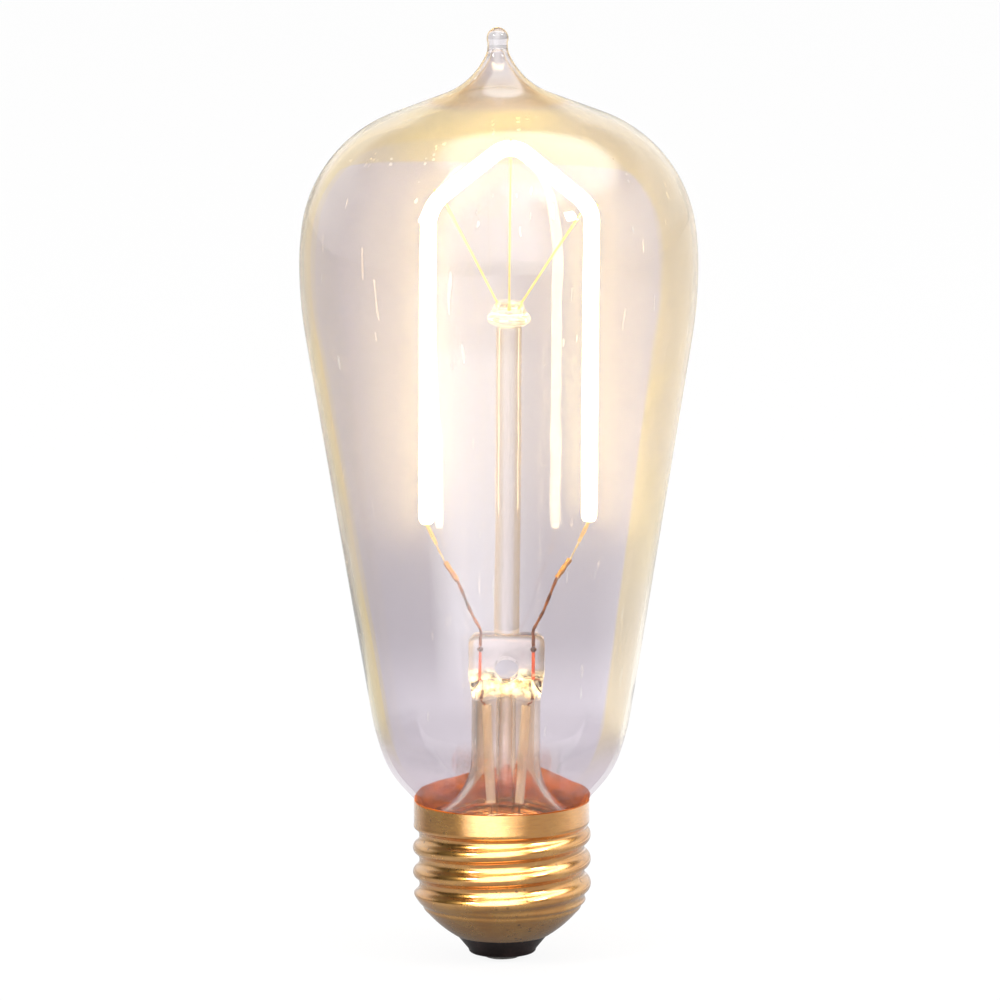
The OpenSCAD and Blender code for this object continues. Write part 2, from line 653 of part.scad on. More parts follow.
module lead_crimp(s) {
    through = 0.1;
    bore = lead_d + 2 * seat_play;
    color("peru") on_mount() translate(spatial(crimp_bottom(s))) rotate([0, s * crimp_lean, 0])
        difference() {
            cylinder(h = crimp_length, d = crimp_d);
            translate([0, 0, -through]) cylinder(h = crimp_length + 2 * through, d = bore);
        }
}
module lead_crimp_left() lead_crimp(-1);
module lead_crimp_right() lead_crimp(1);

module inner_lead(s) {
    into = unit(crimp_top(s) - crimp_bottom(s));
    from = crimp_bottom(s);
    press = [s * seal_offset, press_top];
    run = press - from;
    shares = [[0.3, 0.32], [0.56, 0.6], [0.8, 0.8], [0.96, 0.93]];
    bend = [for (f = shares) from + [run[0] * f[0], run[1] * f[1]]];
    knot_top = press_bottom + knot_height + knot_d / 2 + seat_play;
    path = smooth_run([for (p = concat(
        [from + 0.6 * into, from], bend, [press - [0, 0.3]]
    )) spatial(p)], 2);
    color("sienna") on_mount() wire(concat(
        [spatial(from + 1.9 * into)], path, [spatial([s * seal_offset, knot_top])]), lead_d);
}
module inner_lead_left() inner_lead(-1);
module inner_lead_right() inner_lead(1);

// Height of the weld of a seal wire to its outer lead, over the crown
weld_height = 0.5;
module seal_wire(s) {
    knot = press_bottom + knot_height;
    weld = crown_bottom + weld_height;
    color("orangered") on_mount() translate([s * seal_offset, 0, 0]) {
        translate([0, 0, weld]) cylinder(h = knot - weld, d = seal_wire_d);
        translate([0, 0, knot]) sphere(d = knot_d);
        translate([0, 0, weld]) cylinder(h = 1.2, r1 = 0.3, r2 = 0.1);
    }
}
module seal_wire_left() seal_wire(-1);
module seal_wire_right() seal_wire(1);

// Sleeves stand a little in front of the exhaust tube and lean inwards
sleeve_top_end = [2.85, 0.55];
sleeve_low_end = [2.05, 1.35];
sleeve_foot = 2.4;
function sleeve_top(s) = [s * sleeve_top_end[0], -sleeve_top_end[1], crown_bottom - 0.6];
function sleeve_low(s) = [s * sleeve_low_end[0], -sleeve_low_end[1], seal_top + sleeve_foot];

board_reach = board_d / 2 + seat_play - cone_c[0];
board_bottom = cone_c[1] - sqrt(pow(cone_round - brass_wall, 2) - pow(board_reach, 2));
board_top = board_bottom + board_t;
lead_foot = 3.1;
lead_foot_y = -3.6;

module outer_lead(s) {
    weld = [s * seal_offset, 0, crown_bottom + weld_height - outer_lead_d / 2 - seat_play];
    axis = sleeve_low(s) - sleeve_top(s);
    side = [s * (sleeve_bore - outer_lead_d - 2 * seat_play) / 2, 0, 0];
    upper = [for (p = smooth_run([
        weld, weld - [s * 0.25, 0.1, 0.7], sleeve_top(s) + side, sleeve_top(s) + axis * 0.3 + side * 0.5,
        sleeve_top(s) + axis * 0.7, sleeve_low(s)
    ], 3)) mounted(p)];
    low = mounted(sleeve_low(s));
    foot = [s * lead_foot, lead_foot_y, board_top + seat_play];
    lower = smooth_run([low, low - [0, 0, 3], foot + [0, 0, 2.8], foot + [0, 0, 0.9], foot], 3);
    color("saddlebrown") wire(concat(upper, [for (i = [1:len(lower) - 1]) lower[i]]), outer_lead_d);
}
module outer_lead_left() outer_lead(-1);
module outer_lead_right() outer_lead(1);

module lead_sleeve(s) {
    axis = sleeve_top(s) - sleeve_low(s);
    turn = atan2(axis[1], axis[0]);
    tilt = acos(axis[2] / norm(axis));
    through = 0.1;
    color("antiquewhite") on_mount() translate(sleeve_low(s)) rotate([0, tilt, turn]) difference() {
        cylinder(h = norm(axis), d = sleeve_d);
        translate([0, 0, -through]) cylinder(h = norm(axis) + 2 * through, d = sleeve_bore);
    }
}
module lead_sleeve_left() lead_sleeve(-1);
module lead_sleeve_right() lead_sleeve(1);

// Cement between neck and collar; its lip rises unevenly, most at the back
cement_steps = 48;
cement_low = 0.1;
cement_play = 0.08;
cement_lip = 0.55;
lip_front = 0.15;
lip_back = 1.9;
lip_ripple = 0.35;
function lip_height(a) = rim_height + lip_front + lip_back * pow(max(sin(a + 8), 0), 2)
    + lip_ripple * (1 + sin(5 * a + 40)) * (1 + sin(a)) / 2;
function cement_inner(z) = (fillet_radius(z) + seat_play) / cos(180 / cement_steps) + 0.01;
function cement_outer(a, z) = z < rim_height + 0.02 ? shell_inner(a, z) - cement_play
    : max(collar_d / 2 - brass_wall - seat_play, fillet_radius(z) + cement_lip);
function cement_level(a, t) = let (low = neck_bottom + cement_low, knee = rim_height)
    t <= 0.5 ? low + (knee - low) * t * 2 : knee + (lip_height(a) - knee) * (t - 0.5) * 2;
module base_cement() {
    levels = [0, 0.17, 0.33, 0.5, 0.6, 0.75, 0.9, 1];
    angles = [for (k = [0:cement_steps - 1]) 360 * k / cement_steps];
    color("chocolate") skin(
        [for (t = levels) [for (a = angles) let (z = cement_level(a, t))
            on_ring(t < 1 ? cement_outer(a, z) : (cement_outer(a, z) + cement_inner(z)) / 2, a, z)]],
        [for (t = levels) [for (a = angles) let (z = cement_level(a, t)) on_ring(cement_inner(z), a, z)]],
        cement_steps
    );
}

module screw_shell() {
    angles = [for (k = [0:shell_steps - 1]) 360 * k / shell_steps];
    color("goldenrod") skin(
        [for (z = shell_heights) [for (a = angles) on_ring(shell_outer(a, z), a, z)]],
        [for (z = shell_heights) [for (a = angles) on_ring(shell_inner(a, z), a, z)]],
        shell_steps
    );
}

module base_insulator() {
    foot_r = foot_d / 2;
    waist_r = waist_d / 2;
    contact_r = contact_d / 2 + seat_play;
    plug_top = cone_bottom + plug_depth;
    edge_r = cone_edge_d / 2 - 0.1;
    function plug_radius(z) = cone_radius(z, cone_round - brass_wall) * cos(180 / shell_steps) - seat_play;
    color("black") difference() {
        rotate_extrude() polygon(concat(
            [[0, foot_height], [foot_r - 1.1, foot_height], [foot_r - 0.35, foot_height + 0.25],
                [foot_r, foot_height + 0.55]],
            [[waist_r, waist_height], [(waist_r + edge_r) / 2, (waist_height + cone_bottom) / 2]],
            [[edge_r, cone_bottom - seat_play], [plug_radius(cone_bottom), cone_bottom - seat_play]],
            [for (k = [0:3]) let (z = cone_bottom + plug_depth * k / 3) [plug_radius(z), z]],
            [[0, plug_top]]
        ));
        translate([0, 0, -1]) cylinder(h = plug_top + 2, d = wire_bore_d);
        translate([0, 0, foot_height - 1]) cylinder(h = 1 + contact_t - contact_proud, r = contact_r);
    }
}

// How far the contact plate stands out of the insulator's foot
contact_proud = 0.1;
contact_bottom = foot_height - contact_proud;
module contact_disc() {
    r = contact_d / 2;
    collar_r = wire_bore_d / 2 - seat_play;
    hole_r = link_wire_d / 2 + 0.2;
    collar_top = contact_t + 0.8;
    color("silver") translate([0, 0, contact_bottom]) rotate_extrude() polygon([
        [hole_r, 0], [r - 0.15, 0], [r, 0.1], [r, contact_t],
        [collar_r, contact_t], [collar_r, collar_top], [hole_r, collar_top]
    ]);
}

module contact_solder() {
    r = solder_d / 2;
    flat = 0.62;
    color("lightgray") rotate_extrude() polygon(concat(
        [[0, 0], [flat * r, 0]],
        [for (a = [30:30:90]) [flat * r + (1 - flat) * r * sin(a), contact_bottom * (1 - cos(a))]],
        [[0, contact_bottom]]
    ));
}

module driver_board() {
    color("seagreen") difference() {
        translate([0, 0, board_bottom]) cylinder(h = board_t, d = board_d);
        translate([0, 0, board_bottom - 1]) cylinder(h = board_t + 2, d = link_wire_d + 2 * seat_play);
    }
}

// Parts on the board: their places, and the feet that the two packages stand on
rectifier_place = [0, 5.3];
driver_place = [5.7, 0.6];
capacitor_place = [-5.8, 0.4];
resistor_place = [0, -6.3];
package_lift = 0.15;
pin_size = [0.5, 0.6, 0.4];

// Moulded package with the same number of pins along both long sides
module package(size, pins, pin_step) {
    translate([-size[0] / 2, -size[1] / 2, package_lift])
        cube([size[0], size[1], size[2] - package_lift]);
    for (k = [0:pins - 1]) for (y = [-size[1] / 2 - pin_size[1], size[1] / 2])
        translate([(k - (pins - 1) / 2) * pin_step - pin_size[0] / 2, y, 0]) cube(pin_size);
}

module bridge_rectifier() {
    color("dimgray") translate([rectifier_place[0], rectifier_place[1], board_top])
        package([rectifier_l, rectifier_w, rectifier_h], 2, 2.54);
}

module driver_chip() {
    color("dimgray") translate([driver_place[0], driver_place[1], board_top])
        package([driver_w, driver_l, driver_h], 3, 1.27);
}

module smoothing_capacitor() {
    r = capacitor_d / 2;
    bead_height = 1.1;
    bead_half = 0.2;
    color("midnightblue") translate([capacitor_place[0], capacitor_place[1], board_top])
        rotate_extrude() polygon([
            [0, 0], [r - 0.2, 0], [r, 0.2], [r, bead_height - bead_half], [r - 0.2, bead_height],
            [r, bead_height + bead_half], [r, capacitor_l - 0.3], [r - 0.3, capacitor_l], [0, capacitor_l]
        ]);
}

module fuse_resistor() {
    body_height = board_top + resistor_d / 2 + 0.05;
    leg_d = 0.5;
    reach = resistor_l / 2 + 0.7;
    color("tan") translate(resistor_place) {
        translate([-resistor_l / 2, 0, body_height]) rotate([0, 90, 0])
            cylinder(h = resistor_l, d = resistor_d);
        translate([-reach, 0, body_height]) rotate([0, 90, 0]) cylinder(h = 2 * reach, d = leg_d);
        for (s = [-1, 1]) translate([s * reach, 0, board_top])
            cylinder(h = body_height + leg_d / 2 - board_top, d = leg_d);
    }
}

module contact_lead() {
    color("silver") translate([0, 0, contact_bottom])
        cylinder(h = board_top + 0.8 - contact_bottom, d = link_wire_d);
}

// Wire from the board to the inside of the shell, and the solder that joins it there
shell_joint_angle = 140;
shell_joint = [cos(shell_joint_angle), sin(shell_joint_angle)];
shell_joint_height = board_top + 3.8;
shell_solder_d = 0.9;
shell_root_r = thread_d / 2 - thread_depth - brass_wall - seat_play;
module shell_lead() {
    r = shell_root_r - shell_solder_d / 2;
    foot_r = board_d / 2 - 1.2;
    color("silver") wire([for (p = [
        [foot_r, board_top + seat_play], [foot_r, board_top + 1.2], [foot_r + 0.3, board_top + 1.6],
        [r - 0.3, shell_joint_height - 1.6], [r, shell_joint_height - 1.2], [r, shell_joint_height]
    ]) [p[0] * shell_joint[0], p[0] * shell_joint[1], p[1]]],
        link_wire_d, [-shell_joint[1], shell_joint[0], 0]);
}

module shell_solder() {
    r = shell_root_r - shell_solder_d / 2;
    color("lightgray") translate([r * shell_joint[0], r * shell_joint[1], shell_joint_height
        + shell_solder_d / 2 + seat_play]) sphere(d = shell_solder_d);
}

module board_solder() {
    color("lightgray") for (s = [-1, 1]) translate([s * lead_foot, lead_foot_y, board_top]) rotate_extrude()
        polygon([[outer_lead_d / 2 + seat_play, 0], [0.8, 0], [0.5, 0.35], [outer_lead_d / 2 + 0.12, 0.6],
            [outer_lead_d / 2 + seat_play, 0.6]]);
}

glass_envelope();
stem_tube();
exhaust_tube();
arbor_rod();
arbor_button();
support_wire_left();
support_wire_top();
support_wire_right();
filament_strip();
led_chips();
phosphor_coat();
filament_tab_left();
filament_tab_right();
tail_wire_left();
tail_wire_right();
lead_crimp_left();
lead_crimp_right();
inner_lead_left();
inner_lead_right();
seal_wire_left();
seal_wire_right();
outer_lead_left();
outer_lead_right();
lead_sleeve_left();
lead_sleeve_right();
base_cement();
screw_shell();
base_insulator();
contact_disc();
contact_solder();
driver_board();
bridge_rectifier();
driver_chip();
smoothing_capacitor();
fuse_resistor();
contact_lead();
shell_lead();
shell_solder();
board_solder();
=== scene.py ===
import math

import bmesh
import bpy
from mathutils import Matrix, Vector, noise


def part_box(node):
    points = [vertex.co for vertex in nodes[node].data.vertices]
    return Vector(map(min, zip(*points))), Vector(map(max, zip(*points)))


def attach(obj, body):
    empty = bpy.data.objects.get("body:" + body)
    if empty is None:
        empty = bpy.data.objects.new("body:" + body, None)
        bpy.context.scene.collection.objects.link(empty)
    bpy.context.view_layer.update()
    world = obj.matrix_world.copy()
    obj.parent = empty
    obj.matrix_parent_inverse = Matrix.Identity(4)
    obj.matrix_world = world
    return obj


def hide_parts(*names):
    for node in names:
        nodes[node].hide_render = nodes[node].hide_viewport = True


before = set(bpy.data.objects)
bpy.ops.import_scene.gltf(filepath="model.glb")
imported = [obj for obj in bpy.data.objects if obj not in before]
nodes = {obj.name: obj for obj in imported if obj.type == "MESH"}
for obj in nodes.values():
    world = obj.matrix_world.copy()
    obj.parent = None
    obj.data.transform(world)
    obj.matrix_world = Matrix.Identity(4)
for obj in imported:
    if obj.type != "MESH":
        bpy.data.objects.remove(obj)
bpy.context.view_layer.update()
mm = 0.001
weld = 0.002 * mm  # vertices closer than this are merged
white, black = (1, 1, 1, 1), (0, 0, 0, 1)
print("frame loaded:", len(nodes), "nodes")


# Modelling helpers: sizes are in millimetres, meshes in metres

def pick(piece):
    bpy.ops.object.select_all(action="DESELECT")
    piece.select_set(True)
    bpy.context.view_layer.objects.active = piece


def shade(piece, angle):  # faces that meet under this angle shade as one
    pick(piece)
    bpy.ops.object.shade_smooth_by_angle(angle=math.radians(angle))


def cleanMesh(piece, angle=40):  # ends edit mode with seams closed and faces outwards
    bpy.ops.mesh.select_all(action="SELECT")
    bpy.ops.mesh.remove_doubles(threshold=weld)
    bpy.ops.mesh.normals_make_consistent(inside=False)
    bpy.ops.object.mode_set(mode="OBJECT")
    shade(piece, angle)
    return piece


def turnProfile(name, profile, steps, angle=40):  # spins [radius, height] points round the axis
    points = [Vector((r, 0, z)) * mm for r, z in profile]
    bpy.ops.object.select_all(action="DESELECT")
    bpy.ops.mesh.primitive_plane_add(size=mm)
    piece = bpy.context.object
    piece.name = piece.data.name = name
    bpy.ops.object.mode_set(mode="EDIT")
    bpy.ops.mesh.merge(type="CENTER")
    bpy.ops.transform.translate(value=points[0])
    for here, there in zip(points, points[1:]):
        bpy.ops.mesh.extrude_vertices_move(TRANSFORM_OT_translate={"value": there - here})
    bpy.ops.mesh.select_all(action="SELECT")
    bpy.ops.mesh.spin(steps=steps, angle=2 * math.pi, center=(0, 0, 0), axis=(0, 0, 1))
    return cleanMesh(piece, angle)


def loftRings(name, rings, sides, angle):
    def spot(ring, k):  # a ring is its height, half width, half depth and squareness
        height, width, depth, square = ring
        c, s = math.cos(2 * math.pi * k / sides), math.sin(2 * math.pi * k / sides)
        x = math.copysign(abs(c) ** (2 / square), c) * width
        y = math.copysign(abs(s) ** (2 / square), s) * depth
        return Vector((x, y, height)) * mm

    def label(vertex):  # an extruded vertex is known again by its place
        return tuple(round(c, 7) for c in vertex.co)

    bpy.ops.object.select_all(action="DESELECT")
    bpy.ops.mesh.primitive_circle_add(vertices=sides, radius=10 * mm)
    piece = bpy.context.object
    piece.name = piece.data.name = name
    bpy.ops.object.mode_set(mode="EDIT")
    for i, ring in enumerate(rings):
        if i:
            bpy.ops.mesh.extrude_region_move()
        mesh = bmesh.from_edit_mesh(piece.data)
        chosen = [v for v in mesh.verts if v.select]
        numbers = []
        for v in chosen:
            turn = math.atan2(v.co.y, v.co.x) / (2 * math.pi)
            numbers.append(placed[label(v)] if i else round(turn * sides) % sides)
        placed = {}
        for v, k in zip(chosen, numbers):
            v.co = spot(ring, k)
            placed[label(v)] = k
        bmesh.update_edit_mesh(piece.data)
    bpy.ops.mesh.select_all(action="SELECT")
    bpy.ops.mesh.select_mode(type="EDGE")
    bpy.ops.mesh.region_to_loop()
    bpy.ops.mesh.fill_holes(sides=0)
    bpy.ops.mesh.select_mode(type="VERT")
    return cleanMesh(piece, angle)


def sweepLine(name, points, radius, shares, sides):  # a round strand, shares scale its thickness
    curve = bpy.data.curves.new(name, "CURVE")
    curve.dimensions = "3D"
    curve.bevel_depth = radius * mm
    curve.bevel_resolution = sides // 2 - 2
    curve.use_fill_caps = True
    line = curve.splines.new("POLY")
    line.points.add(len(points) - 1)
    for spot, point, share in zip(line.points, points, shares):
        spot.co = (*(Vector(point) * mm), 1)
        spot.radius = share
    piece = bpy.data.objects.new(name, curve)
    bpy.context.scene.collection.objects.link(piece)
    pick(piece)
    bpy.ops.object.convert(target="MESH")
    piece = bpy.context.object
    bpy.ops.object.mode_set(mode="EDIT")
    return cleanMesh(piece)


def moveVertices(piece, place):  # place takes and gives a point in millimetres
    for vertex in piece.data.vertices:
        vertex.co = Vector(place(vertex.co / mm)) * mm
    piece.data.update()
    return piece


def cut(piece, tool):
    pick(piece)
    modifier = piece.modifiers.new("cut", "BOOLEAN")
    modifier.object = tool
    modifier.operation = "DIFFERENCE"
    modifier.solver = "EXACT"
    bpy.ops.object.modifier_apply(modifier="cut")
    bpy.data.objects.remove(tool)
    return piece


def lumps(point, size, seed):  # smooth unevenness, about -1 to 1, in lumps of this size
    return noise.noise(Vector(point) / size + Vector((seed, seed * 1.7, -seed)))


def turns(start, end, step):  # degrees as radians
    return [math.radians(a) for a in range(start, end, step)]


def arc(centre, radius, start, end, step=3):  # points [radius, height, slope from the axis]
    count = max(1, math.ceil(abs(end - start) / step))
    slopes = [math.radians(start + (end - start) * i / count) for i in range(count + 1)]
    return [(centre[0] + radius * math.cos(a), centre[1] - radius * math.sin(a), a) for a in slopes]


def arcCentre(point, radius):
    return (point[0] - radius * math.cos(point[2]), point[1] + radius * math.sin(point[2]))


def ease(value):
    value = min(max(value, 0), 1)
    return value * value * (3 - 2 * value)


def onMount(piece):  # gives a piece the lean of the inner assembly, in its mesh
    foot = Vector((0, 0, mount["foot"])) * mm
    shift = Vector((mount["shift"] * mm, 0, 0))
    lean = Matrix.Rotation(math.radians(mount["lean"]), 4, "Y")
    piece.data.transform(Matrix.Translation(foot + shift) @ lean @ Matrix.Translation(-foot))
    piece.data.update()
    return piece


def finishPiece(piece, look, slot, *replaced):
    piece.data.materials.clear()
    piece.data.materials.append(look)
    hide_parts(*replaced)
    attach(piece, "root")
    print("made", piece.name, len(piece.data.polygons), "faces")


def dress(look, *names):  # a CAD node keeps its shape and gets a finish
    for name in names:
        for place in nodes[name].material_slots:
            place.material = look
        print("dressed", name)


# Shader maths: a Socket is a node's output, and arithmetic on it adds Math nodes

class Socket:
    def __init__(self, look, output):
        self.look, self.output = look, output

    def calc(self, operation, *values):
        return self.look.node("ShaderNodeMath", {"operation": operation}, dict(enumerate(values)))

    def __add__(self, other):
        return self.calc("ADD", self, other)

    def __sub__(self, other):
        return self.calc("SUBTRACT", self, other)

    def __mul__(self, other):
        return self.calc("MULTIPLY", self, other)

    def __rsub__(self, other):
        return self.calc("SUBTRACT", other, self)

    __radd__ = __add__
    __rmul__ = __mul__

    def fade(self, low, high, start=0.0, end=1.0):  # a soft step from start to end
        return self.look.node("ShaderNodeMapRange", {"interpolation_type": "SMOOTHSTEP"}, {
            "Value": self, "From Min": low, "From Max": high, "To Min": start, "To Max": end})

    def fadeUp(self, low, high, start=0.0, end=1.0):  # the same between heights in millimetres
        return self.fade(low * mm, high * mm, start, end)


shortNames = {
    "BaseColor": "Base Color", "Transmission": "Transmission Weight", "Coat": "Coat Weight",
    "CoatRoughness": "Coat Roughness", "CoatIOR": "Coat IOR", "SpecularTint": "Specular Tint",
    "SpecularLevel": "Specular IOR Level", "Glow": "Emission Color", "GlowStrength": "Emission Strength",
}


class Look:
    def __init__(self, owner):
        owner.use_nodes = True
        self.owner, self.tree = owner, owner.node_tree
        self.tree.nodes.clear()

    def node(self, kind, settings=None, inputs=None, output=0):
        made = self.tree.nodes.new(kind)
        for key, value in (settings or {}).items():
            if key == "stops":
                ramp = made.color_ramp.elements
                ramp[0].position, ramp[0].color = value[0]
                ramp[-1].position, ramp[-1].color = value[-1]
                for place, colour in value[1:-1]:
                    ramp.new(place).color = colour
            else:
                setattr(made, key, value)
        for key, value in (inputs or {}).items():
            if isinstance(value, Socket):
                self.tree.links.new(value.output, made.inputs[key])
            else:
                made.inputs[key].default_value = value
        return Socket(self, made.outputs[output]) if made.outputs else self.owner

    def place(self, scale=(1, 1, 1), turn=(0, 0, 0)):
        spot = self.node("ShaderNodeTexCoord", output="Object")
        if scale == (1, 1, 1):
            return spot
        return self.node("ShaderNodeMapping", inputs={"Vector": spot, "Rotation": turn, "Scale": scale})

    def along(self, axis, vector=None):  # a piece's own place along one axis
        return self.node("ShaderNodeSeparateXYZ", inputs={0: vector or self.place()}, output=axis)

    def facing(self):  # 0 where the surface faces the eye, 1 at its edge
        return self.node("ShaderNodeLayerWeight", inputs={"Blend": 0.5}, output="Facing")

    def rays(self, kind):
        return self.node("ShaderNodeLightPath", output=kind)

    def noise(self, scale, detail=4, roughness=0.55, vector=None):
        return self.node("ShaderNodeTexNoise", inputs={
            "Vector": vector or self.place(), "Scale": scale, "Detail": detail, "Roughness": roughness})

    def cells(self, scale):
        return self.node("ShaderNodeTexVoronoi", inputs={"Vector": self.place(), "Scale": scale})

    def blend(self, share, first, second):
        return self.node("ShaderNodeMix", {"data_type": "RGBA"}, {0: share, 6: first, 7: second}, 2)

    def bump(self, height, strength, distance):
        return self.node("ShaderNodeBump", inputs={
            "Strength": strength, "Distance": distance, "Height": height})

    def principled(self, **inputs):
        return self.node("ShaderNodeBsdfPrincipled", inputs={
            shortNames.get(key, key): value for key, value in inputs.items()})

    def clear(self, colour):
        return self.node("ShaderNodeBsdfTransparent", inputs={"Color": colour})

    def mixed(self, share, first, second):
        return self.node("ShaderNodeMixShader", inputs={0: share, 1: first, 2: second})

    def show(self, surface):
        return self.node("ShaderNodeOutputMaterial", inputs={"Surface": surface})


def newLook(name):
    return Look(bpy.data.materials.new(name))


def tone(red, green, blue):  # a colour as it shows on the screen, 0 to 255
    def linear(value):
        value /= 255
        return value / 12.92 if value <= 0.04045 else ((value + 0.055) / 1.055) ** 2.4
    return (linear(red), linear(green), linear(blue), 1)


# Where the inner assembly stands in the frame, and the heights of its pieces before they lean
mount = {"lean": 0.75, "shift": 0.5, "foot": 20.6}
levels = {
    "flareTop": 29.43, "crownBottom": 38.43, "pressBottom": 42.43, "pressTop": 48.33,
    "buttonBottom": 93.6, "buttonTop": 97.3, "bend": 111.0, "peak": 120.7,
}


# Bulb glass
bulb = {
    "wall": 0.7, "neckRadius": 12.1, "neckBottom": 19.8, "sealTop": 20.6, "sealRadius": 9.3,
    "filletStart": 21.79, "filletRadius": 3.5, "shoulderSlope": 42, "shoulderRun": 2.5,
    "shoulderRadius": 13.7, "shoulderExit": 20, "taperRadius": 35, "bellyRadius": 65,
    "crownLeadRadius": 40, "crownLeadSlope": 8.4, "crownRadius": 20.3, "crownSlope": 69,
    "tipFilletRadius": 11, "tipSlope": 24, "tipNeckRadius": 1.48, "tipRound": 2.5,
    "beadRadius": 1.6, "beadSink": 1.3, "beadJoin": 22, "hollowRise": 1.3,
    "hollowTurns": (1.3, 1.0, 0.6, 0.3), "steps": 144,
}


def bulbOutline():  # outer profile from the neck to the tip's narrowest place
    b = bulb
    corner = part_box("glass_envelope")[1]
    widest, top = corner.x / mm, corner.z / mm
    filletCentre = (b["neckRadius"] + b["filletRadius"], b["filletStart"])
    fillet = arc(filletCentre, -b["filletRadius"], 0, b["shoulderSlope"])
    radius, height, slope = fillet[-1]
    straight = b["shoulderRun"]
    runEnd = (radius + straight * math.sin(slope), height + straight * math.cos(slope), slope)
    shoulderCentre = arcCentre(runEnd, b["shoulderRadius"])
    shoulder = arc(shoulderCentre, b["shoulderRadius"], b["shoulderSlope"], b["shoulderExit"])
    tipCentre = (b["tipNeckRadius"] + b["tipRound"], top - b["beadRadius"] - b["beadSink"])
    tip = arc(tipCentre, -b["tipRound"], -b["tipSlope"], 0, step=6)
    tipFilletCentre = arcCentre(tip[0], -b["tipFilletRadius"])
    tipFillet = arc(tipFilletCentre, -b["tipFilletRadius"], -b["crownSlope"], -b["tipSlope"])
    lead, steep = math.radians(b["crownLeadSlope"]), math.radians(b["crownSlope"])
    width = b["crownLeadRadius"] * (1 - math.cos(lead))
    width += b["crownRadius"] * (math.cos(lead) - math.cos(steep))
    reach = b["crownLeadRadius"] * math.sin(lead)
    reach += b["crownRadius"] * (math.sin(steep) - math.sin(lead))
    run = (widest - width - tipFillet[0][0]) / math.sin(steep)
    bellyHeight = tipFillet[0][1] - run * math.cos(steep) - reach
    leadCentre = (widest - b["crownLeadRadius"], bellyHeight)
    crownLead = arc(leadCentre, b["crownLeadRadius"], 0, -b["crownLeadSlope"], step=2)
    crownCentre = arcCentre(crownLead[-1], b["crownRadius"])
    crown = arc(crownCentre, b["crownRadius"], -b["crownLeadSlope"], -b["crownSlope"])
    taperCentre = arcCentre(shoulder[-1], b["taperRadius"])
    bellyCentre = (widest - b["bellyRadius"], bellyHeight)
    line = (bellyCentre[0] - taperCentre[0], bellyCentre[1] - taperCentre[1])
    growth = b["bellyRadius"] - b["taperRadius"]
    taperSlope = math.degrees(math.atan2(*line) + math.asin(growth / math.hypot(*line)))
    taper = arc(taperCentre, b["taperRadius"], b["shoulderExit"], taperSlope, step=2)
    belly = arc(bellyCentre, b["bellyRadius"], taperSlope, 0, step=1.5)
    wall = [(b["neckRadius"], b["sealTop"], 0)] + fillet + shoulder + taper[1:]
    wall += belly + crownLead[1:] + crown[1:] + tipFillet
    return wall, tip[1:]


def makeBulb():
    b, seal = bulb, bulb["sealRadius"]
    wall, tip = bulbOutline()
    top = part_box("glass_envelope")[1].z / mm
    bead = [(b["beadRadius"] * math.cos(a), top - b["beadRadius"] * (1 - math.sin(a)))
            for a in turns(-b["beadJoin"], 89, 10)]
    inner = [(r - b["wall"] * math.cos(a), z + b["wall"] * math.sin(a)) for r, z, a in wall]
    lastRadius, lastHeight = inner[-1]
    cap = [(0, lastHeight + b["hollowRise"])]
    cap += [(lastRadius * math.cos(a), lastHeight + b["hollowRise"] * math.sin(a))
            for a in b["hollowTurns"]]
    profile = [(seal, b["sealTop"]), (seal, b["neckBottom"]), (b["neckRadius"], b["neckBottom"])]
    profile += [point[:2] for point in wall + tip] + bead + [(0, top)]
    profile += cap + inner[::-1] + [(seal, b["sealTop"])]
    return turnProfile("bulb_glass", profile, b["steps"], angle=35)


bulbFinish = {
    # the beige and yellow tones and the darker gold edge tone are painted reflections near the glass's
    # edges
    "clear": tone(221, 212, 222), "paintedSheen": tone(233, 214, 184), "paintedGlint": tone(244, 220, 160),
    "edge": tone(210, 186, 138), "tip": tone(224, 172, 84), "shadow": tone(245, 240, 238),
    "bandStart": 0.415, "bandEnd": 0.445, "bandSway": 0.05, "narrowLeft": 9.0,
    "domeLow": 117.5, "domeHigh": 122.5, "domeMore": 0.4, "tipLow": 125.9, "tipHigh": 126.9,
    "ior": 1.5, "filmIor": 1.3, "filmLow": 34, "filmHigh": 84,
    "films": [(0.066, tone(255, 246, 238), 0.85), (0.014, tone(255, 240, 130), 0.34)],  # haze, glare
    "dust": 0.45, "dustTone": tone(250, 244, 230), "rubbedLow": 84, "rubbedHigh": 100,
    "bond": 0.9, "bondTone": tone(245, 242, 245), "bondLow": 28, "bondHigh": 36,
}


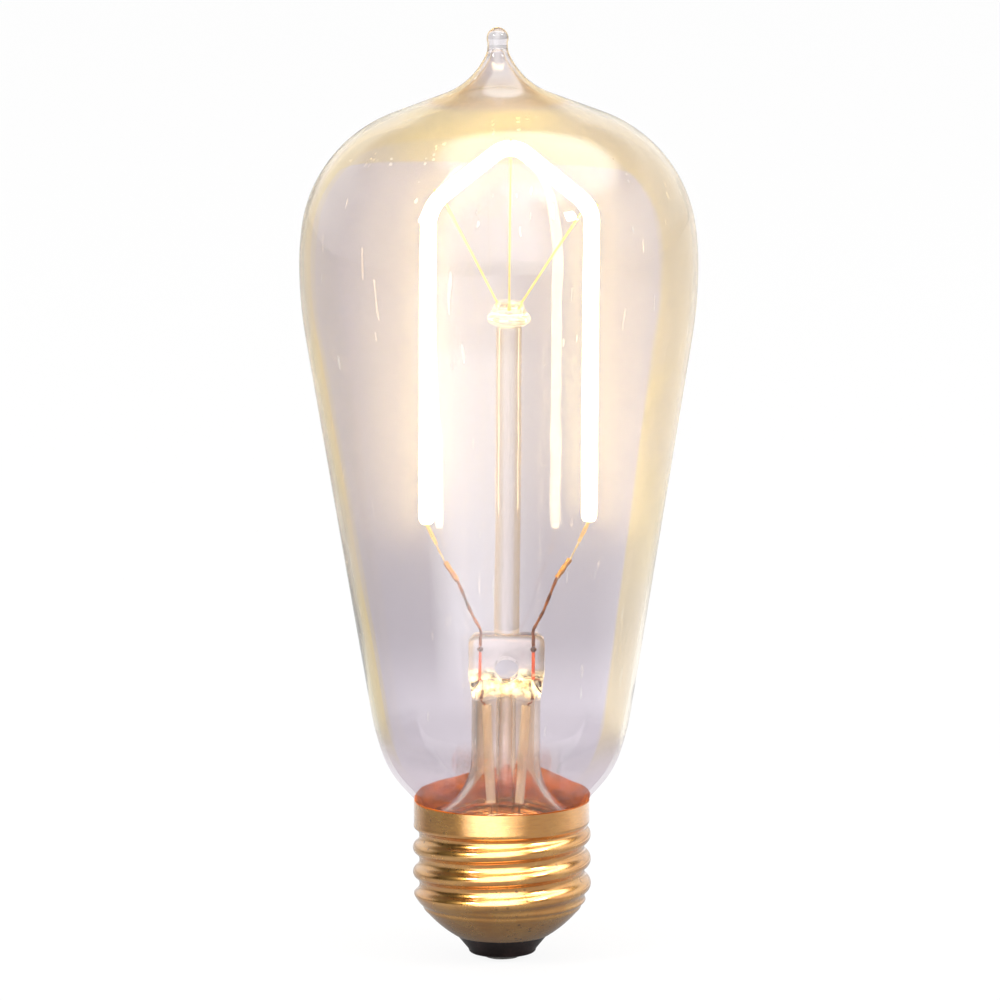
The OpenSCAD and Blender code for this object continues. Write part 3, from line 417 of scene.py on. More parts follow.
def bulbLook():
    look, f = newLook("bulbGlass"), bulbFinish
    facing, height, side = look.facing(), look.along("Z"), look.along("X")
    inside = look.node("ShaderNodeNewGeometry", output="Backfacing")
    # Painted reflection: a beige sheen band near the glass's edges, narrower on the left, wider on the
    # dome, swaying a little
    veil = facing + side.calc("MINIMUM", side, 0.0) * f["narrowLeft"]
    veil = veil + (look.noise(40, 2) - 0.5) * f["bandSway"]
    veil = veil + height.fadeUp(f["domeLow"], f["domeHigh"]) * f["domeMore"]
    atTip = height.fadeUp(f["tipLow"], f["tipHigh"])
    paintedSheen = veil.fade(f["bandStart"], f["bandEnd"]) * (1 - atTip)
    # Painted highlight: yellow glints scattered through the painted sheen band
    paintedGlint = look.noise(38, 2).fade(0.5, 0.68)
    tint = look.blend(paintedSheen, f["clear"], look.blend(paintedGlint, f["paintedSheen"], f["paintedGlint"]))
    # Painted reflection: the outermost rim of the glass is painted a darker gold
    tint = look.blend(facing.fade(0.8, 1.0), tint, f["edge"])
    tint = look.blend(atTip * facing.fade(0.3, 0.75), tint, f["tip"])
    tint = look.blend(inside, tint, white)
    relief = look.bump(look.noise(55, 2), strength=0.25, distance=0.4 * mm)
    glass = look.principled(BaseColor=tint, Roughness=0.0, IOR=f["ior"], Transmission=1.0, Normal=relief)
    filmed = height.fadeUp(f["filmLow"], f["filmHigh"])  # the films thin out towards the base
    for share, colour, rough in f["films"]:
        film = look.principled(BaseColor=colour, Roughness=rough, IOR=f["filmIor"], Transmission=1.0)
        glass = look.mixed(filmed * share, glass, film)
    specks = look.cells(700).fade(0.03, 0.012) * look.noise(70, 2).fade(0.45, 0.6)
    upright = look.noise(900, 1, vector=look.place((1, 1, 0.1))).fade(0.75, 0.79)
    slanted = look.noise(800, 1, vector=look.place((1, 1, 0.08), (0.3, 0.9, 0.2))).fade(0.74, 0.78)
    rubbed = look.noise(60, 2).fade(0.45, 0.55) * height.fadeUp(f["rubbedLow"], f["rubbedHigh"], 0.4)
    marks = (specks + (upright + slanted) * rubbed) * f["dust"]
    glass = look.mixed(marks, glass, look.principled(BaseColor=f["dustTone"], Roughness=0.6))
    bonded = height.fadeUp(f["bondHigh"], f["bondLow"]) * f["bond"]  # cement takes away the gloss
    glass = look.mixed(bonded, glass, look.clear(f["bondTone"]))
    return look.show(look.mixed(look.rays("Is Shadow Ray"), glass, look.clear(f["shadow"])))


finishPiece(makeBulb(), bulbLook(), "bulb_glass", "glass_envelope")


# Stem: flared foot, tube, melted crown and flat press in one glass, hollow up to the crown
stem = {
    "radius": 5.05, "wall": 0.9, "flareRadius": 8.28, "flareSlope": 70, "pressWidth": 5.58,
    "pressDepth": 2.3, "pressRound": 1.4, "pressSquare": 4, "hollowSink": 1.2, "hollowDepth": 1.3,
    "hollowNarrow": 0.4, "capRise": 0.25, "capInset": 1.2, "portRadius": 1.8, "portRise": 0.6,
    "portReach": 20, "meltHeight": 41.5, "meltSpan": 4, "meltLeast": 0.03, "meltMore": 0.12,
}


def makeStem():
    s, z = stem, levels
    rings = []
    for a in turns(0, 91, 15):
        inset = s["pressRound"] * (1 - math.sin(a))
        rings.append((z["pressTop"] - s["pressRound"] * (1 - math.cos(a)), s["pressWidth"] - inset,
                      s["pressDepth"] - 0.5 * inset, s["pressSquare"]))
    roundEnd = z["pressTop"] - s["pressRound"]
    for share in (0.3, 0.6, 1):
        rings.append((roundEnd - share * (roundEnd - z["pressBottom"]),
                      s["pressWidth"], s["pressDepth"], s["pressSquare"]))
    steps = 8
    for i in range(1, steps + 1):
        share = ease(i / steps)
        rings.append((z["pressBottom"] + (z["crownBottom"] - z["pressBottom"]) * i / steps,
                      s["pressWidth"] + (s["radius"] - s["pressWidth"]) * share,
                      s["pressDepth"] + (s["radius"] - s["pressDepth"]) * share,
                      s["pressSquare"] + (2 - s["pressSquare"]) * share))
    for a in turns(0, s["flareSlope"] + 1, 7):
        r = s["radius"] + s["flareRadius"] * (1 - math.cos(a))
        rings.append((z["flareTop"] - s["flareRadius"] * math.sin(a), r, r, 2))
    innerFlare = s["flareRadius"] + s["wall"]
    for a in turns(s["flareSlope"], -1, -7):
        r = s["radius"] + s["flareRadius"] - innerFlare * math.cos(a)
        rings.append((z["flareTop"] - innerFlare * math.sin(a), r, r, 2))
    inner, hollowTop = s["radius"] - s["wall"], z["pressBottom"] - s["hollowSink"]
    steps = 6
    for i in range(steps + 1):
        share = i / steps
        rings.append((z["crownBottom"] + (hollowTop - z["crownBottom"]) * share,
                      inner - s["hollowNarrow"] * ease(share),
                      inner + (s["hollowDepth"] - inner) * ease(share), 2 + share))
    rings.append((hollowTop + s["capRise"], inner - s["capInset"], s["hollowDepth"] * 0.5, 3))
    piece = loftRings("stem_glass", rings, sides=72, angle=60)
    bpy.ops.object.select_all(action="DESELECT")
    bpy.ops.mesh.primitive_cylinder_add(
        vertices=48, radius=s["portRadius"] * mm, depth=s["portReach"] * mm,
        location=(0, 0, (z["pressBottom"] + s["portRise"]) * mm), rotation=(math.pi / 2, 0, 0))
    cut(piece, bpy.context.object)
    shade(piece, angle=50)

    def melted(point):  # uneven glass, most of it where the tube was melted shut
        push = s["meltLeast"] + s["meltMore"] * ease(1 - abs(point.z - s["meltHeight"]) / s["meltSpan"])
        sag = (lumps(point, 2.2, seed=3), lumps(point, 2.2, seed=7), lumps(point, 2.5, seed=11))
        return point + Vector(sag) * push

    return onMount(moveVertices(piece, melted))


stemFinish = {
    # The yellow crown tone, the beige rim tone and the pale lit tone here are painted light on the glass
    "thin": tone(250, 243, 234), "thick": tone(253, 249, 243), "crown": tone(255, 236, 184),
    "rim": tone(238, 212, 168), "lit": tone(255, 240, 190), "shadow": tone(245, 240, 235),
    "crownStart": (39.2, 40.4), "crownEnd": (43.1, 42.3), "rimStart": (44, 47), "buttonFade": 0.3,
    "ior": 1.5, "folds": 1.2, "relief": 0.3, "reliefDepth": 0.15, "glow": 1.0, "buttonGlow": 0.6,
}


def stemLook():
    look, f = newLook("stemGlass"), stemFinish
    height = look.along("Z")
    crown = height.fadeUp(*f["crownStart"]) * height.fadeUp(*f["crownEnd"])
    folds = look.noise(700, 3)
    drawn = look.noise(260, 2, vector=look.place((1, 1, 0.3)))
    relief = look.bump(drawn + folds * crown * f["folds"], f["relief"], f["reliefDepth"] * mm)
    tint = look.blend(look.noise(120, 2).fade(0.4, 0.7), f["thin"], f["thick"])
    # Painted glow colour: the crown is tinted yellow as if the filament's light were caught in it
    tint = look.blend(crown, tint, f["crown"])
    # Painted reflection: the glass's edges are tinted beige, fully higher up and half as much low down
    paintedRimShare = height.fadeUp(*f["rimStart"]) * 0.5 + 0.5
    tint = look.blend(look.facing().fade(0.04, 0.2) * paintedRimShare, tint, f["rim"])
    # Painted glow: the crown's folds and the button glow though the glass is no lamp, as if lit by the
    # filament
    button = height.fadeUp(levels["buttonBottom"] - f["buttonFade"], levels["buttonBottom"])
    lit = crown * folds.fade(0.42, 0.62) + button * folds.fade(0.4, 0.65) * f["buttonGlow"]
    clear = look.principled(BaseColor=tint, Roughness=0.0, IOR=f["ior"], Transmission=1.0, Normal=relief,
                            Glow=look.blend(lit, black, f["lit"]), GlowStrength=f["glow"])
    return look.show(look.mixed(look.rays("Is Shadow Ray"), clear, look.clear(f["shadow"])))


stemGlassLook = stemLook()
finishPiece(makeStem(), stemGlassLook, "stem_glass", "stem_tube")

# Exhaust tube up the middle of the stem, melted shut at its foot
exhaust = {
    "radius": 1.45, "wall": 0.5, "bottom": 13.0, "top": 40.98, "tip": 1.8, "tipEnd": 0.8, "lip": 0.1,
    "lipDrop": 0.15, "lastRing": 0.2, "rings": 20,
}


def makeExhaust():
    e = exhaust
    bore = e["radius"] - e["wall"]
    innerBottom = e["bottom"] + 1.5 * e["wall"]
    tipSteps = turns(0, 91, 15)
    outer = [(e["radius"] * math.sin(a), e["bottom"] + e["tip"] * (1 - math.cos(a))) for a in tipSteps]
    inner = [(bore * math.sin(a), innerBottom + e["tip"] * (1 - math.cos(a))) for a in tipSteps]
    lip = [(e["radius"] - e["lip"], e["top"]), (bore + e["lip"], e["top"])]
    low, high = e["bottom"] + e["tip"] + e["tipEnd"], e["top"] - e["lipDrop"]
    span = high - e["lastRing"] - low
    heights = [low + span * i / e["rings"] for i in range(e["rings"] + 1)]  # close, for even refraction
    heights.append(high)
    profile = outer + [(e["radius"], z) for z in heights] + lip + [(bore, z) for z in heights[::-1]]
    return onMount(turnProfile("exhaust_glass", profile + inner[::-1], steps=48))


finishPiece(makeExhaust(), stemGlassLook, "stem_glass", "exhaust_tube")

# Glass rod on the press, with the melted button that holds the hook wires
arbor = {
    "radius": 1.875, "seat": 0.03, "edge": 0.35, "chamfer": 0.1, "rings": 60, "sway": 0.05,
    "flange": 3.175, "top": 2.05, "melt": 0.14,
}


def makeRod():
    a, edge, chamfer = arbor, arbor["edge"], arbor["chamfer"]
    low, high = levels["pressTop"] + a["seat"], levels["buttonBottom"] - a["seat"]
    span = high - low - 2 * edge
    profile = [(0, low), (a["radius"] - edge, low), (a["radius"] - chamfer, low + chamfer)]
    profile += [(a["radius"], low + edge + span * i / a["rings"]) for i in range(a["rings"] + 1)]
    profile += [(a["radius"] - chamfer, high - chamfer), (a["radius"] - edge, high), (0, high)]

    def swayed(point):
        level = (0, 0, point.z)
        return point + Vector((lumps(level, 9, seed=5), lumps(level, 9, seed=8), 0)) * a["sway"]

    return onMount(moveVertices(turnProfile("arbor_rod_glass", profile, steps=48), swayed))


def makeButton():
    low, high = levels["buttonBottom"], levels["buttonTop"]
    rod, flange, top = arbor["radius"], arbor["flange"], arbor["top"]
    profile = [(0, low), (rod - 0.1, low), (rod + 0.25, low + 0.12), (flange - 0.45, low + 0.38),
               (flange - 0.12, low + 0.62), (flange, low + 0.95), (flange - 0.02, low + 1.3),
               (flange - 0.2, low + 1.62), (flange - 0.5, low + 1.9), (top + 0.35, low + 2.6),
               (top + 0.12, low + 3.1), (top - 0.02, high - 0.28), (top - 0.25, high - 0.08),
               (top - 0.6, high), (0, high)]

    def melted(point):
        push = arbor["melt"] if low + 0.1 < point.z < high - 0.1 else 0.0
        sag = (lumps(point, 1.6, seed=2), lumps(point, 1.6, seed=4), lumps(point, 1.6, seed=6) * 0.5)
        return point + Vector(sag) * push

    piece = turnProfile("arbor_button_glass", profile, steps=64, angle=60)
    return onMount(moveVertices(piece, melted))


finishPiece(makeRod(), stemGlassLook, "stem_glass", "arbor_rod")
finishPiece(makeButton(), stemGlassLook, "stem_glass", "arbor_button")


# Filament: silicone coat bent in a pointed arch
filament = {
    "radius": 1.15, "sides": 28, "halfSpan": 11.85, "rise": 9.7, "leftEnd": 64.43, "rightEnd": 65.03,
    "bends": (6.2, 3.4, 4.2), "bendRoom": 5, "bendSteps": 12, "glow": 28.0, "coat": tone(255, 225, 140),
    "deepGlow": tone(255, 234, 178), "paleGlow": tone(255, 241, 198),
    "legShares": (0, 0.006, 0.014, 0.024, 0.036, 0.2, 0.4, 0.6, 0.8, 1),
    "endShares": [0.62, 0.8, 0.93, 0.985],  # the thickness of a rounded end
}


def filamentPath():
    f, z, side = filament, levels, filament["halfSpan"]
    slant = math.atan2(side, f["rise"])
    corners = [(-side, z["bend"], slant), (0, z["peak"], math.pi - 2 * slant), (side, z["bend"], slant)]
    headings = (0, slant, math.pi - slant)
    legTop = z["bend"] - f["bendRoom"]
    points = [(-side, 0, f["leftEnd"] + share * (legTop - f["leftEnd"])) for share in f["legShares"]]
    for (x, height, turn), heading, bend in zip(corners, headings, f["bends"]):
        away = bend * math.tan(turn / 2)
        start = (x - away * math.sin(heading), height - away * math.cos(heading))
        centre = (start[0] + bend * math.cos(heading), start[1] - bend * math.sin(heading))
        for k in range(f["bendSteps"] + 1):
            a = heading + turn * k / f["bendSteps"]
            points.append((centre[0] - bend * math.cos(a), 0, centre[1] + bend * math.sin(a)))
    points += [(side, 0, f["rightEnd"] + share * (legTop - f["rightEnd"]))
               for share in f["legShares"][::-1]]
    return points


def makeFilament():
    f, ends = filament, filament["endShares"]
    points = filamentPath()
    shares = ends + [1] * (len(points) - 2 * len(ends)) + ends[::-1]
    return onMount(sweepLine("filament_coat", points, f["radius"], shares, f["sides"]))


def filamentLook():
    look, f = newLook("filamentCoat"), filament
    grain = look.noise(900, 2).fade(0.3, 0.7)
    relief = look.bump(grain, strength=0.2, distance=0.05 * mm)
    return look.show(look.principled(
        BaseColor=f["coat"], Roughness=0.45, Normal=relief,
        Glow=look.blend(grain, f["deepGlow"], f["paleGlow"]), GlowStrength=f["glow"]))


finishPiece(makeFilament(), filamentLook(), "phosphor_silicone", "phosphor_coat")


# Brass shell: rolled thread between a plain collar and a rounded cone
shell = {
    "wall": 0.2, "collar": 12.87, "crest": 13.05, "pitch": 3.629, "round": 1.1, "crestHeight": 7.47,
    "collarBottom": 19.8, "blend": 0.6, "coneEdge": 6.5, "coneRound": 18, "coneSlope": 60,
    "coneShift": 0.15, "coneBlend": 0.25, "lift": 0.4, "ringHeight": 8.05, "ringDepth": 0.18,
    "ringWidth": 0.28, "beadHeight": 7.35, "beadRise": 0.06, "beadWidth": 0.3, "ringStep": 0.14,
    "steps": 168,
}
blank = {"outer": 14, "middle": 13.5, "inner": 13}  # the plain ring that is rolled or poured into shape


shellBottom, shellTop = [corner.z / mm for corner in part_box("screw_shell")]
shellBottom += shell["lift"]


def shellRadius(point, inset):
    s = shell
    turn = math.degrees(math.atan2(point.y, point.x))
    swing = math.asin(s["pitch"] / 4 / s["round"])
    depth = 2 * s["round"] * (1 - math.cos(swing))
    along = (point.z - s["crestHeight"]) / s["pitch"] - turn / 360
    off = abs(along - round(along)) * s["pitch"]
    if off <= s["pitch"] / 4:
        thread = s["crest"] - s["round"] + math.sqrt(s["round"] ** 2 - off ** 2)
    else:
        groove = math.sqrt(s["round"] ** 2 - (s["pitch"] / 2 - off) ** 2)
        thread = s["crest"] - depth + s["round"] - groove
    share = ease((point.z - s["collarBottom"]) / (2 * s["blend"]) + 0.5)
    wall = thread * (1 - share) + s["collar"] * share
    slope = math.radians(s["coneSlope"])
    coneX = s["coneEdge"] - s["coneRound"] * math.cos(slope)
    coneZ = shellBottom - s["lift"] + s["coneShift"] + s["coneRound"] * math.sin(slope)
    cone = coneX + math.sqrt((s["coneRound"] - inset) ** 2 - (coneZ - min(point.z, coneZ)) ** 2)
    soft = s["coneBlend"]  # rounds the corner between thread and cone
    gap = max(soft - abs(wall - inset - cone), 0) / soft
    ring = s["ringDepth"] * math.exp(-((point.z - s["ringHeight"]) / s["ringWidth"]) ** 2)
    bead = s["beadRise"] * math.exp(-((point.z - s["beadHeight"]) / s["beadWidth"]) ** 2)
    return min(wall - inset, cone) - gap * gap * soft / 4 - ring + bead


def makeShell():
    count = round((shellTop - shellBottom) / shell["ringStep"])
    heights = [shellBottom + (shellTop - shellBottom) * i / count for i in range(count + 1)]
    profile = [(blank["outer"], z) for z in heights] + [(blank["inner"], z) for z in heights[::-1]]
    piece = turnProfile("brass_shell", profile + profile[:1], shell["steps"], angle=50)

    def rolled(point):
        across = math.hypot(point.x, point.y)
        radius = shellRadius(point, 0 if across > blank["middle"] else shell["wall"])
        return Vector((point.x * radius / across, point.y * radius / across, point.z))

    return moveVertices(piece, rolled)


brassFinish = {
    "deep": tone(218, 150, 64), "light": tone(234, 176, 92), "streak": tone(180, 118, 44),
    "streaks": 0.42, "pit": tone(110, 72, 34), "pits": 0.6, "roughLow": 0.16, "roughHigh": 0.28,
    "roughFine": 0.06, "relief": 0.35, "reliefDepth": 0.05, "polish": 0.14, "polishIor": 1.85,
}


def brassLook():
    look, f = newLook("rolledBrass"), brassFinish
    fine = look.noise(500, 6, 0.7, look.place((1, 1, 7)))
    cloud = look.noise(160, 5, 0.6)
    pits = look.cells(900).fade(0.3, 0.12) * look.noise(140, 3).fade(0.5, 0.62)
    colour = look.blend(cloud.fade(0.35, 0.7), f["deep"], f["light"])
    colour = look.blend(fine.fade(0.45, 0.75) * f["streaks"], colour, f["streak"])
    colour = look.blend(pits * f["pits"], colour, f["pit"])
    rough = cloud.fade(0.3, 0.7, f["roughLow"], f["roughHigh"]) + fine * f["roughFine"]
    relief = look.bump(fine + pits * f["pits"], f["relief"], f["reliefDepth"] * mm)
    return look.show(look.principled(BaseColor=colour, Metallic=1.0, Roughness=rough, Normal=relief,
                                     Coat=1.0, CoatRoughness=f["polish"], CoatIOR=f["polishIor"]))


finishPiece(makeShell(), brassLook(), "shell_brass", "screw_shell")


# Cement between the glass neck and the collar
cement = {
    "bottom": 19.9, "play": 0.08, "glassGap": 0.04, "lipFront": 0.15, "lipBack": 1.9, "lipTurn": 8,
    "lipRadius": 12.6, "lipRound": 0.15, "lip": 0.55, "edge": 0.08, "roundFrom": 0.85, "ripple": 0.35,
    "rippleCount": 5, "rippleTurn": 40, "wobble": 0.1, "rough": 0.06, "levels": 14, "steps": 144,
}


def makeCement():
    c = cement
    wall = [point[:2] for point in bulbOutline()[0]]

    def glassRadius(z):
        for (r0, z0), (r1, z1) in zip(wall, wall[1:]):
            if z0 <= z <= z1 and z1 > z0:
                return r0 + (r1 - r0) * (z - z0) / (z1 - z0)
        return bulb["neckRadius"]

    shares = [i / c["levels"] for i in range(c["levels"] + 1)]
    profile = [(blank["outer"], s) for s in shares] + [(blank["inner"], s) for s in shares[::-1]]
    piece = turnProfile("base_cement_ring", profile + profile[:1], c["steps"], angle=60)

    def poured(point):
        turn = math.atan2(point.y, point.x)
        degrees = math.degrees(turn)
        back = max(math.sin(math.radians(degrees + c["lipTurn"])), 0)
        ripple = 1 + math.sin(math.radians(c["rippleCount"] * degrees + c["rippleTurn"]))
        lipTop = shellTop + c["lipFront"] + c["lipBack"] * back ** 2
        lipTop += c["ripple"] * ripple * (1 + math.sin(turn)) / 2
        spread = (math.cos(turn) * 4, math.sin(turn) * 4, 0)
        lipTop -= c["wobble"] + c["wobble"] * lumps(spread, 1, seed=0)
        z = c["bottom"] + (lipTop - c["bottom"]) * point.z
        inner = glassRadius(z) + c["glassGap"]
        if math.hypot(point.x, point.y) < blank["middle"]:
            radius = inner
        else:
            spot = Vector((math.cos(turn), math.sin(turn), z))
            inside = shellRadius(spot, shell["wall"]) - c["play"]
            above = ease((z - shellTop) / c["lipRound"])
            radius = inside * (1 - above) + max(c["lipRadius"], inner + c["lip"]) * above
            if point.z > c["roundFrom"]:
                closing = ease((point.z - c["roundFrom"]) / (1 - c["roundFrom"]))
                radius += (inner + c["edge"] - radius) * closing
            radius += c["rough"] * lumps((spot.x * 12, spot.y * 12, z), 1.2, seed=3) * above
        return Vector((math.cos(turn) * radius, math.sin(turn) * radius, z))

    return moveVertices(piece, poured)


cementFinish = {
    "light": tone(220, 120, 18), "dark": tone(142, 66, 6), "grain": tone(232, 146, 40), "grains": 0.5,
    "rough": 0.36, "sheen": tone(255, 170, 60), "sheenLevel": 0.35, "relief": 0.6, "reliefDepth": 0.25,
}


def cementLook():
    look, f = newLook("cappingCement"), cementFinish
    cloud = look.noise(220, 6, 0.65, look.place((1, 1, 2.2)))
    grains = look.noise(1400, 4, 0.7)
    colour = look.blend(cloud.fade(0.35, 0.68), f["light"], f["dark"])
    colour = look.blend(grains.fade(0.55, 0.75) * f["grains"], colour, f["grain"])
    relief = look.bump(cloud + grains * 0.4, f["relief"], f["reliefDepth"] * mm)
    return look.show(look.principled(BaseColor=colour, Roughness=f["rough"], SpecularTint=f["sheen"],
                                     SpecularLevel=f["sheenLevel"], Normal=relief))


finishPiece(makeCement(), cementLook(), "cement", "base_cement")


# Black insulator in the end of the shell, with the soldered contact under it
insulator = {
    "foot": 4.95, "footHeight": 0.75, "footRound": 0.75, "footRise": 0.55, "flankLow": 1.5, "edge": 6.75,
    "play": 0.03, "plugFoot": 6.3, "plug": 7.9, "plugTop": 4.6, "bore": 1, "boreLow": 1.2,
    "boreMouth": (0.9, 0.9), "plugEdge": 0.1, "flankOut": 0.1, "flankRound": 0.3, "rim": 0.04,
    "seat": 3.43, "seatDepth": 0.2, "steps": 96,
}


def makeInsulator():
    i, edge, plug, top = insulator, insulator["edge"], insulator["plug"], insulator["plugTop"]
    low, bottom = shellBottom - i["play"], i["footHeight"]
    seat = [(i["seat"], bottom + i["seatDepth"]), (i["seat"], bottom)]
    foot = [(i["foot"] - i["footRound"] * (1 - math.sin(a)), bottom + i["footRise"] * (1 - math.cos(a)))
            for a in turns(0, 91, 15)]
    flank = [(i["foot"] + i["flankOut"], i["flankLow"]), (edge - i["flankRound"], low - i["flankRound"]),
             (edge, low - i["rim"]), (edge, low)]
    inside = [(i["plugFoot"], low), (plug, top - i["plugEdge"]), (plug, top), (i["bore"], top),
              (i["bore"], i["boreLow"]), i["boreMouth"]]
    profile = seat + foot + flank + inside + seat[:1]
    return turnProfile("black_insulator_glass", profile, i["steps"], angle=35)


insulatorFinish = {
    "black": tone(12, 8, 9), "brown": tone(30, 21, 22), "sheen": tone(236, 208, 204), "ior": 1.5,
    "roughLow": 0.08, "roughHigh": 0.2, "relief": 0.4, "reliefDepth": 0.12,
}


def insulatorLook():
    look, f = newLook("blackGlass"), insulatorFinish
    cloud = look.noise(300, 4, 0.6)
    return look.show(look.principled(
        BaseColor=look.blend(cloud.fade(0.4, 0.7), f["black"], f["brown"]),
        Roughness=cloud.fade(0.3, 0.7, f["roughLow"], f["roughHigh"]), IOR=f["ior"],
        SpecularTint=f["sheen"], Normal=look.bump(cloud, f["relief"], f["reliefDepth"] * mm)))


finishPiece(makeInsulator(), insulatorLook(), "black_insulator", "base_insulator")

contact = {"radius": 2.9, "flat": 1.8, "height": 0.45, "dent": 0.05}


def makeContact():
    c, flat = contact, contact["flat"]
    profile = [(0, 0), (flat * 0.5, 0), (flat, 0)]
    profile += [(flat + (c["radius"] - flat) * math.sin(a), c["height"] * (1 - math.cos(a)))
                for a in turns(15, 91, 15)]
    piece = turnProfile("contact_dome", profile + [(0, c["height"])], steps=64)

    def settled(point):
        across = math.hypot(point.x, point.y)
        share = 1 - c["dent"] * (1 + lumps((point.x, point.y, 0), 1.3, seed=9)) if across > 0.5 else 1
        return Vector((point.x * share, point.y * share, point.z))

    return moveVertices(piece, settled)


# glow gives the metal a painted glow, though it is no lamp
def metalLook(name, colour, darker, rough=0.3, scale=500, glow=0.0):
    look = newLook(name)
    cloud = look.noise(scale, 4, 0.6)
    return look.show(look.principled(
        BaseColor=look.blend(cloud.fade(0.35, 0.7), colour, darker), Metallic=1.0,
        Roughness=cloud.fade(0.3, 0.7, rough * 0.8, rough * 1.3), Glow=colour, GlowStrength=glow,
        Normal=look.bump(cloud, strength=0.3, distance=0.04 * mm)))


solderLook = metalLook("softSolder", tone(214, 210, 206), tone(170, 164, 160), 0.22, 700)
finishPiece(makeContact(), solderLook, "solder", "contact_solder")


# Finishes of the CAD pieces that keep their shape
def plainLook(name, colour, second, rough, scale=600, coat=0.0):
    look = newLook(name)
    cloud = look.noise(scale, 5, 0.6)
    return look.show(look.principled(
        BaseColor=look.blend(cloud.fade(0.35, 0.7), colour, second), Roughness=rough, Coat=coat,
        Normal=look.bump(cloud, strength=0.25, distance=0.05 * mm)))


def hookLook():  # gold wire with a painted glow, bright as if lit by the filament beside it
    look = newLook("hookWire")
    cloud = look.noise(900, 3)
    return look.show(look.principled(
        BaseColor=look.blend(cloud.fade(0.35, 0.7), tone(250, 220, 112), tone(232, 190, 84)),
        Metallic=1.0, Roughness=0.35, Glow=tone(255, 226, 96), GlowStrength=0.25))


sealFinish = {
    "oxideStart": (41.0, 41.5), "oxideEnd": (45.9, 45.4), "bare": tone(86, 46, 22),
    "oxide": tone(246, 104, 8), "deepOxide": tone(216, 76, 4),
}


def sealLook():  # red oxide inside the press, bare brown metal at both ends
    look, f = newLook("sealWire"), sealFinish
    height = look.along("Z")
    red = height.fadeUp(*f["oxideStart"]) * height.fadeUp(*f["oxideEnd"])
    cloud = look.noise(800, 3).fade(0.35, 0.7)
    oxide = look.blend(cloud, f["oxide"], f["deepOxide"])
    return look.show(look.principled(
        BaseColor=look.blend(red, f["bare"], oxide), Roughness=0.35,
        Normal=look.bump(cloud, strength=0.25, distance=0.05 * mm)))


def sleeveLook():  # translucent woven glass sleeve
    look = newLook("wireSleeve")
    weave = look.noise(1500, 3, vector=look.place((1, 1, 0.25))).fade(0.35, 0.65)
    return look.show(look.principled(
        BaseColor=look.blend(weave, tone(255, 252, 240), tone(250, 240, 220)),
        Roughness=0.2, IOR=1.15, Transmission=0.6,
        Normal=look.bump(weave, strength=0.3, distance=0.05 * mm)))


dress(hookLook(),
      "support_wire_left", "support_wire_top", "support_wire_right")
# The tabs, tail wires, crimps and leads get a painted glow, as if lit by the filament
dress(metalLook("goldTab", tone(244, 196, 84), tone(214, 160, 56), 0.3, 900, 0.18),
      "filament_tab_left", "filament_tab_right")
dress(metalLook("paleWire", tone(246, 216, 150), tone(222, 184, 112), 0.3, 900, 0.2),
      "tail_wire_left", "tail_wire_right")
dress(metalLook("crimpMetal", tone(226, 160, 76), tone(150, 88, 36), 0.32, 700, 0.06),
      "lead_crimp_left", "lead_crimp_right")
dress(metalLook("brownLead", tone(178, 98, 24), tone(84, 42, 10), 0.4, 500, 0.02),
      "inner_lead_left", "inner_lead_right", "outer_lead_left", "outer_lead_right")
dress(sealLook(), "seal_wire_left", "seal_wire_right")
dress(sleeveLook(), "lead_sleeve_left", "lead_sleeve_right")
dress(metalLook("contactPlate", tone(196, 190, 186), tone(150, 144, 140)), "contact_disc")
dress(metalLook("tinnedWire", tone(206, 204, 200), tone(170, 166, 160)), "contact_lead", "shell_lead")
dress(solderLook, "shell_solder", "board_solder")
dress(plainLook("filmStrip", tone(236, 222, 180), tone(222, 204, 156), 0.4), "filament_strip")
dress(plainLook("paleChip", tone(246, 240, 214), tone(236, 226, 190), 0.3), "led_chips")
dress(plainLook("boardGreen", tone(38, 106, 66), tone(28, 84, 52), 0.35, 300, 0.4), "driver_board")
dress(plainLook("blackPackage", tone(34, 34, 36), tone(46, 45, 47), 0.5),
      "bridge_rectifier", "driver_chip")
dress(plainLook("capacitorCase", tone(30, 36, 78), tone(24, 28, 62), 0.3, 400, 0.4),
      "smoothing_capacitor")
dress(plainLook("resistorLacquer", tone(190, 160, 118), tone(172, 140, 100), 0.4), "fuse_resistor")


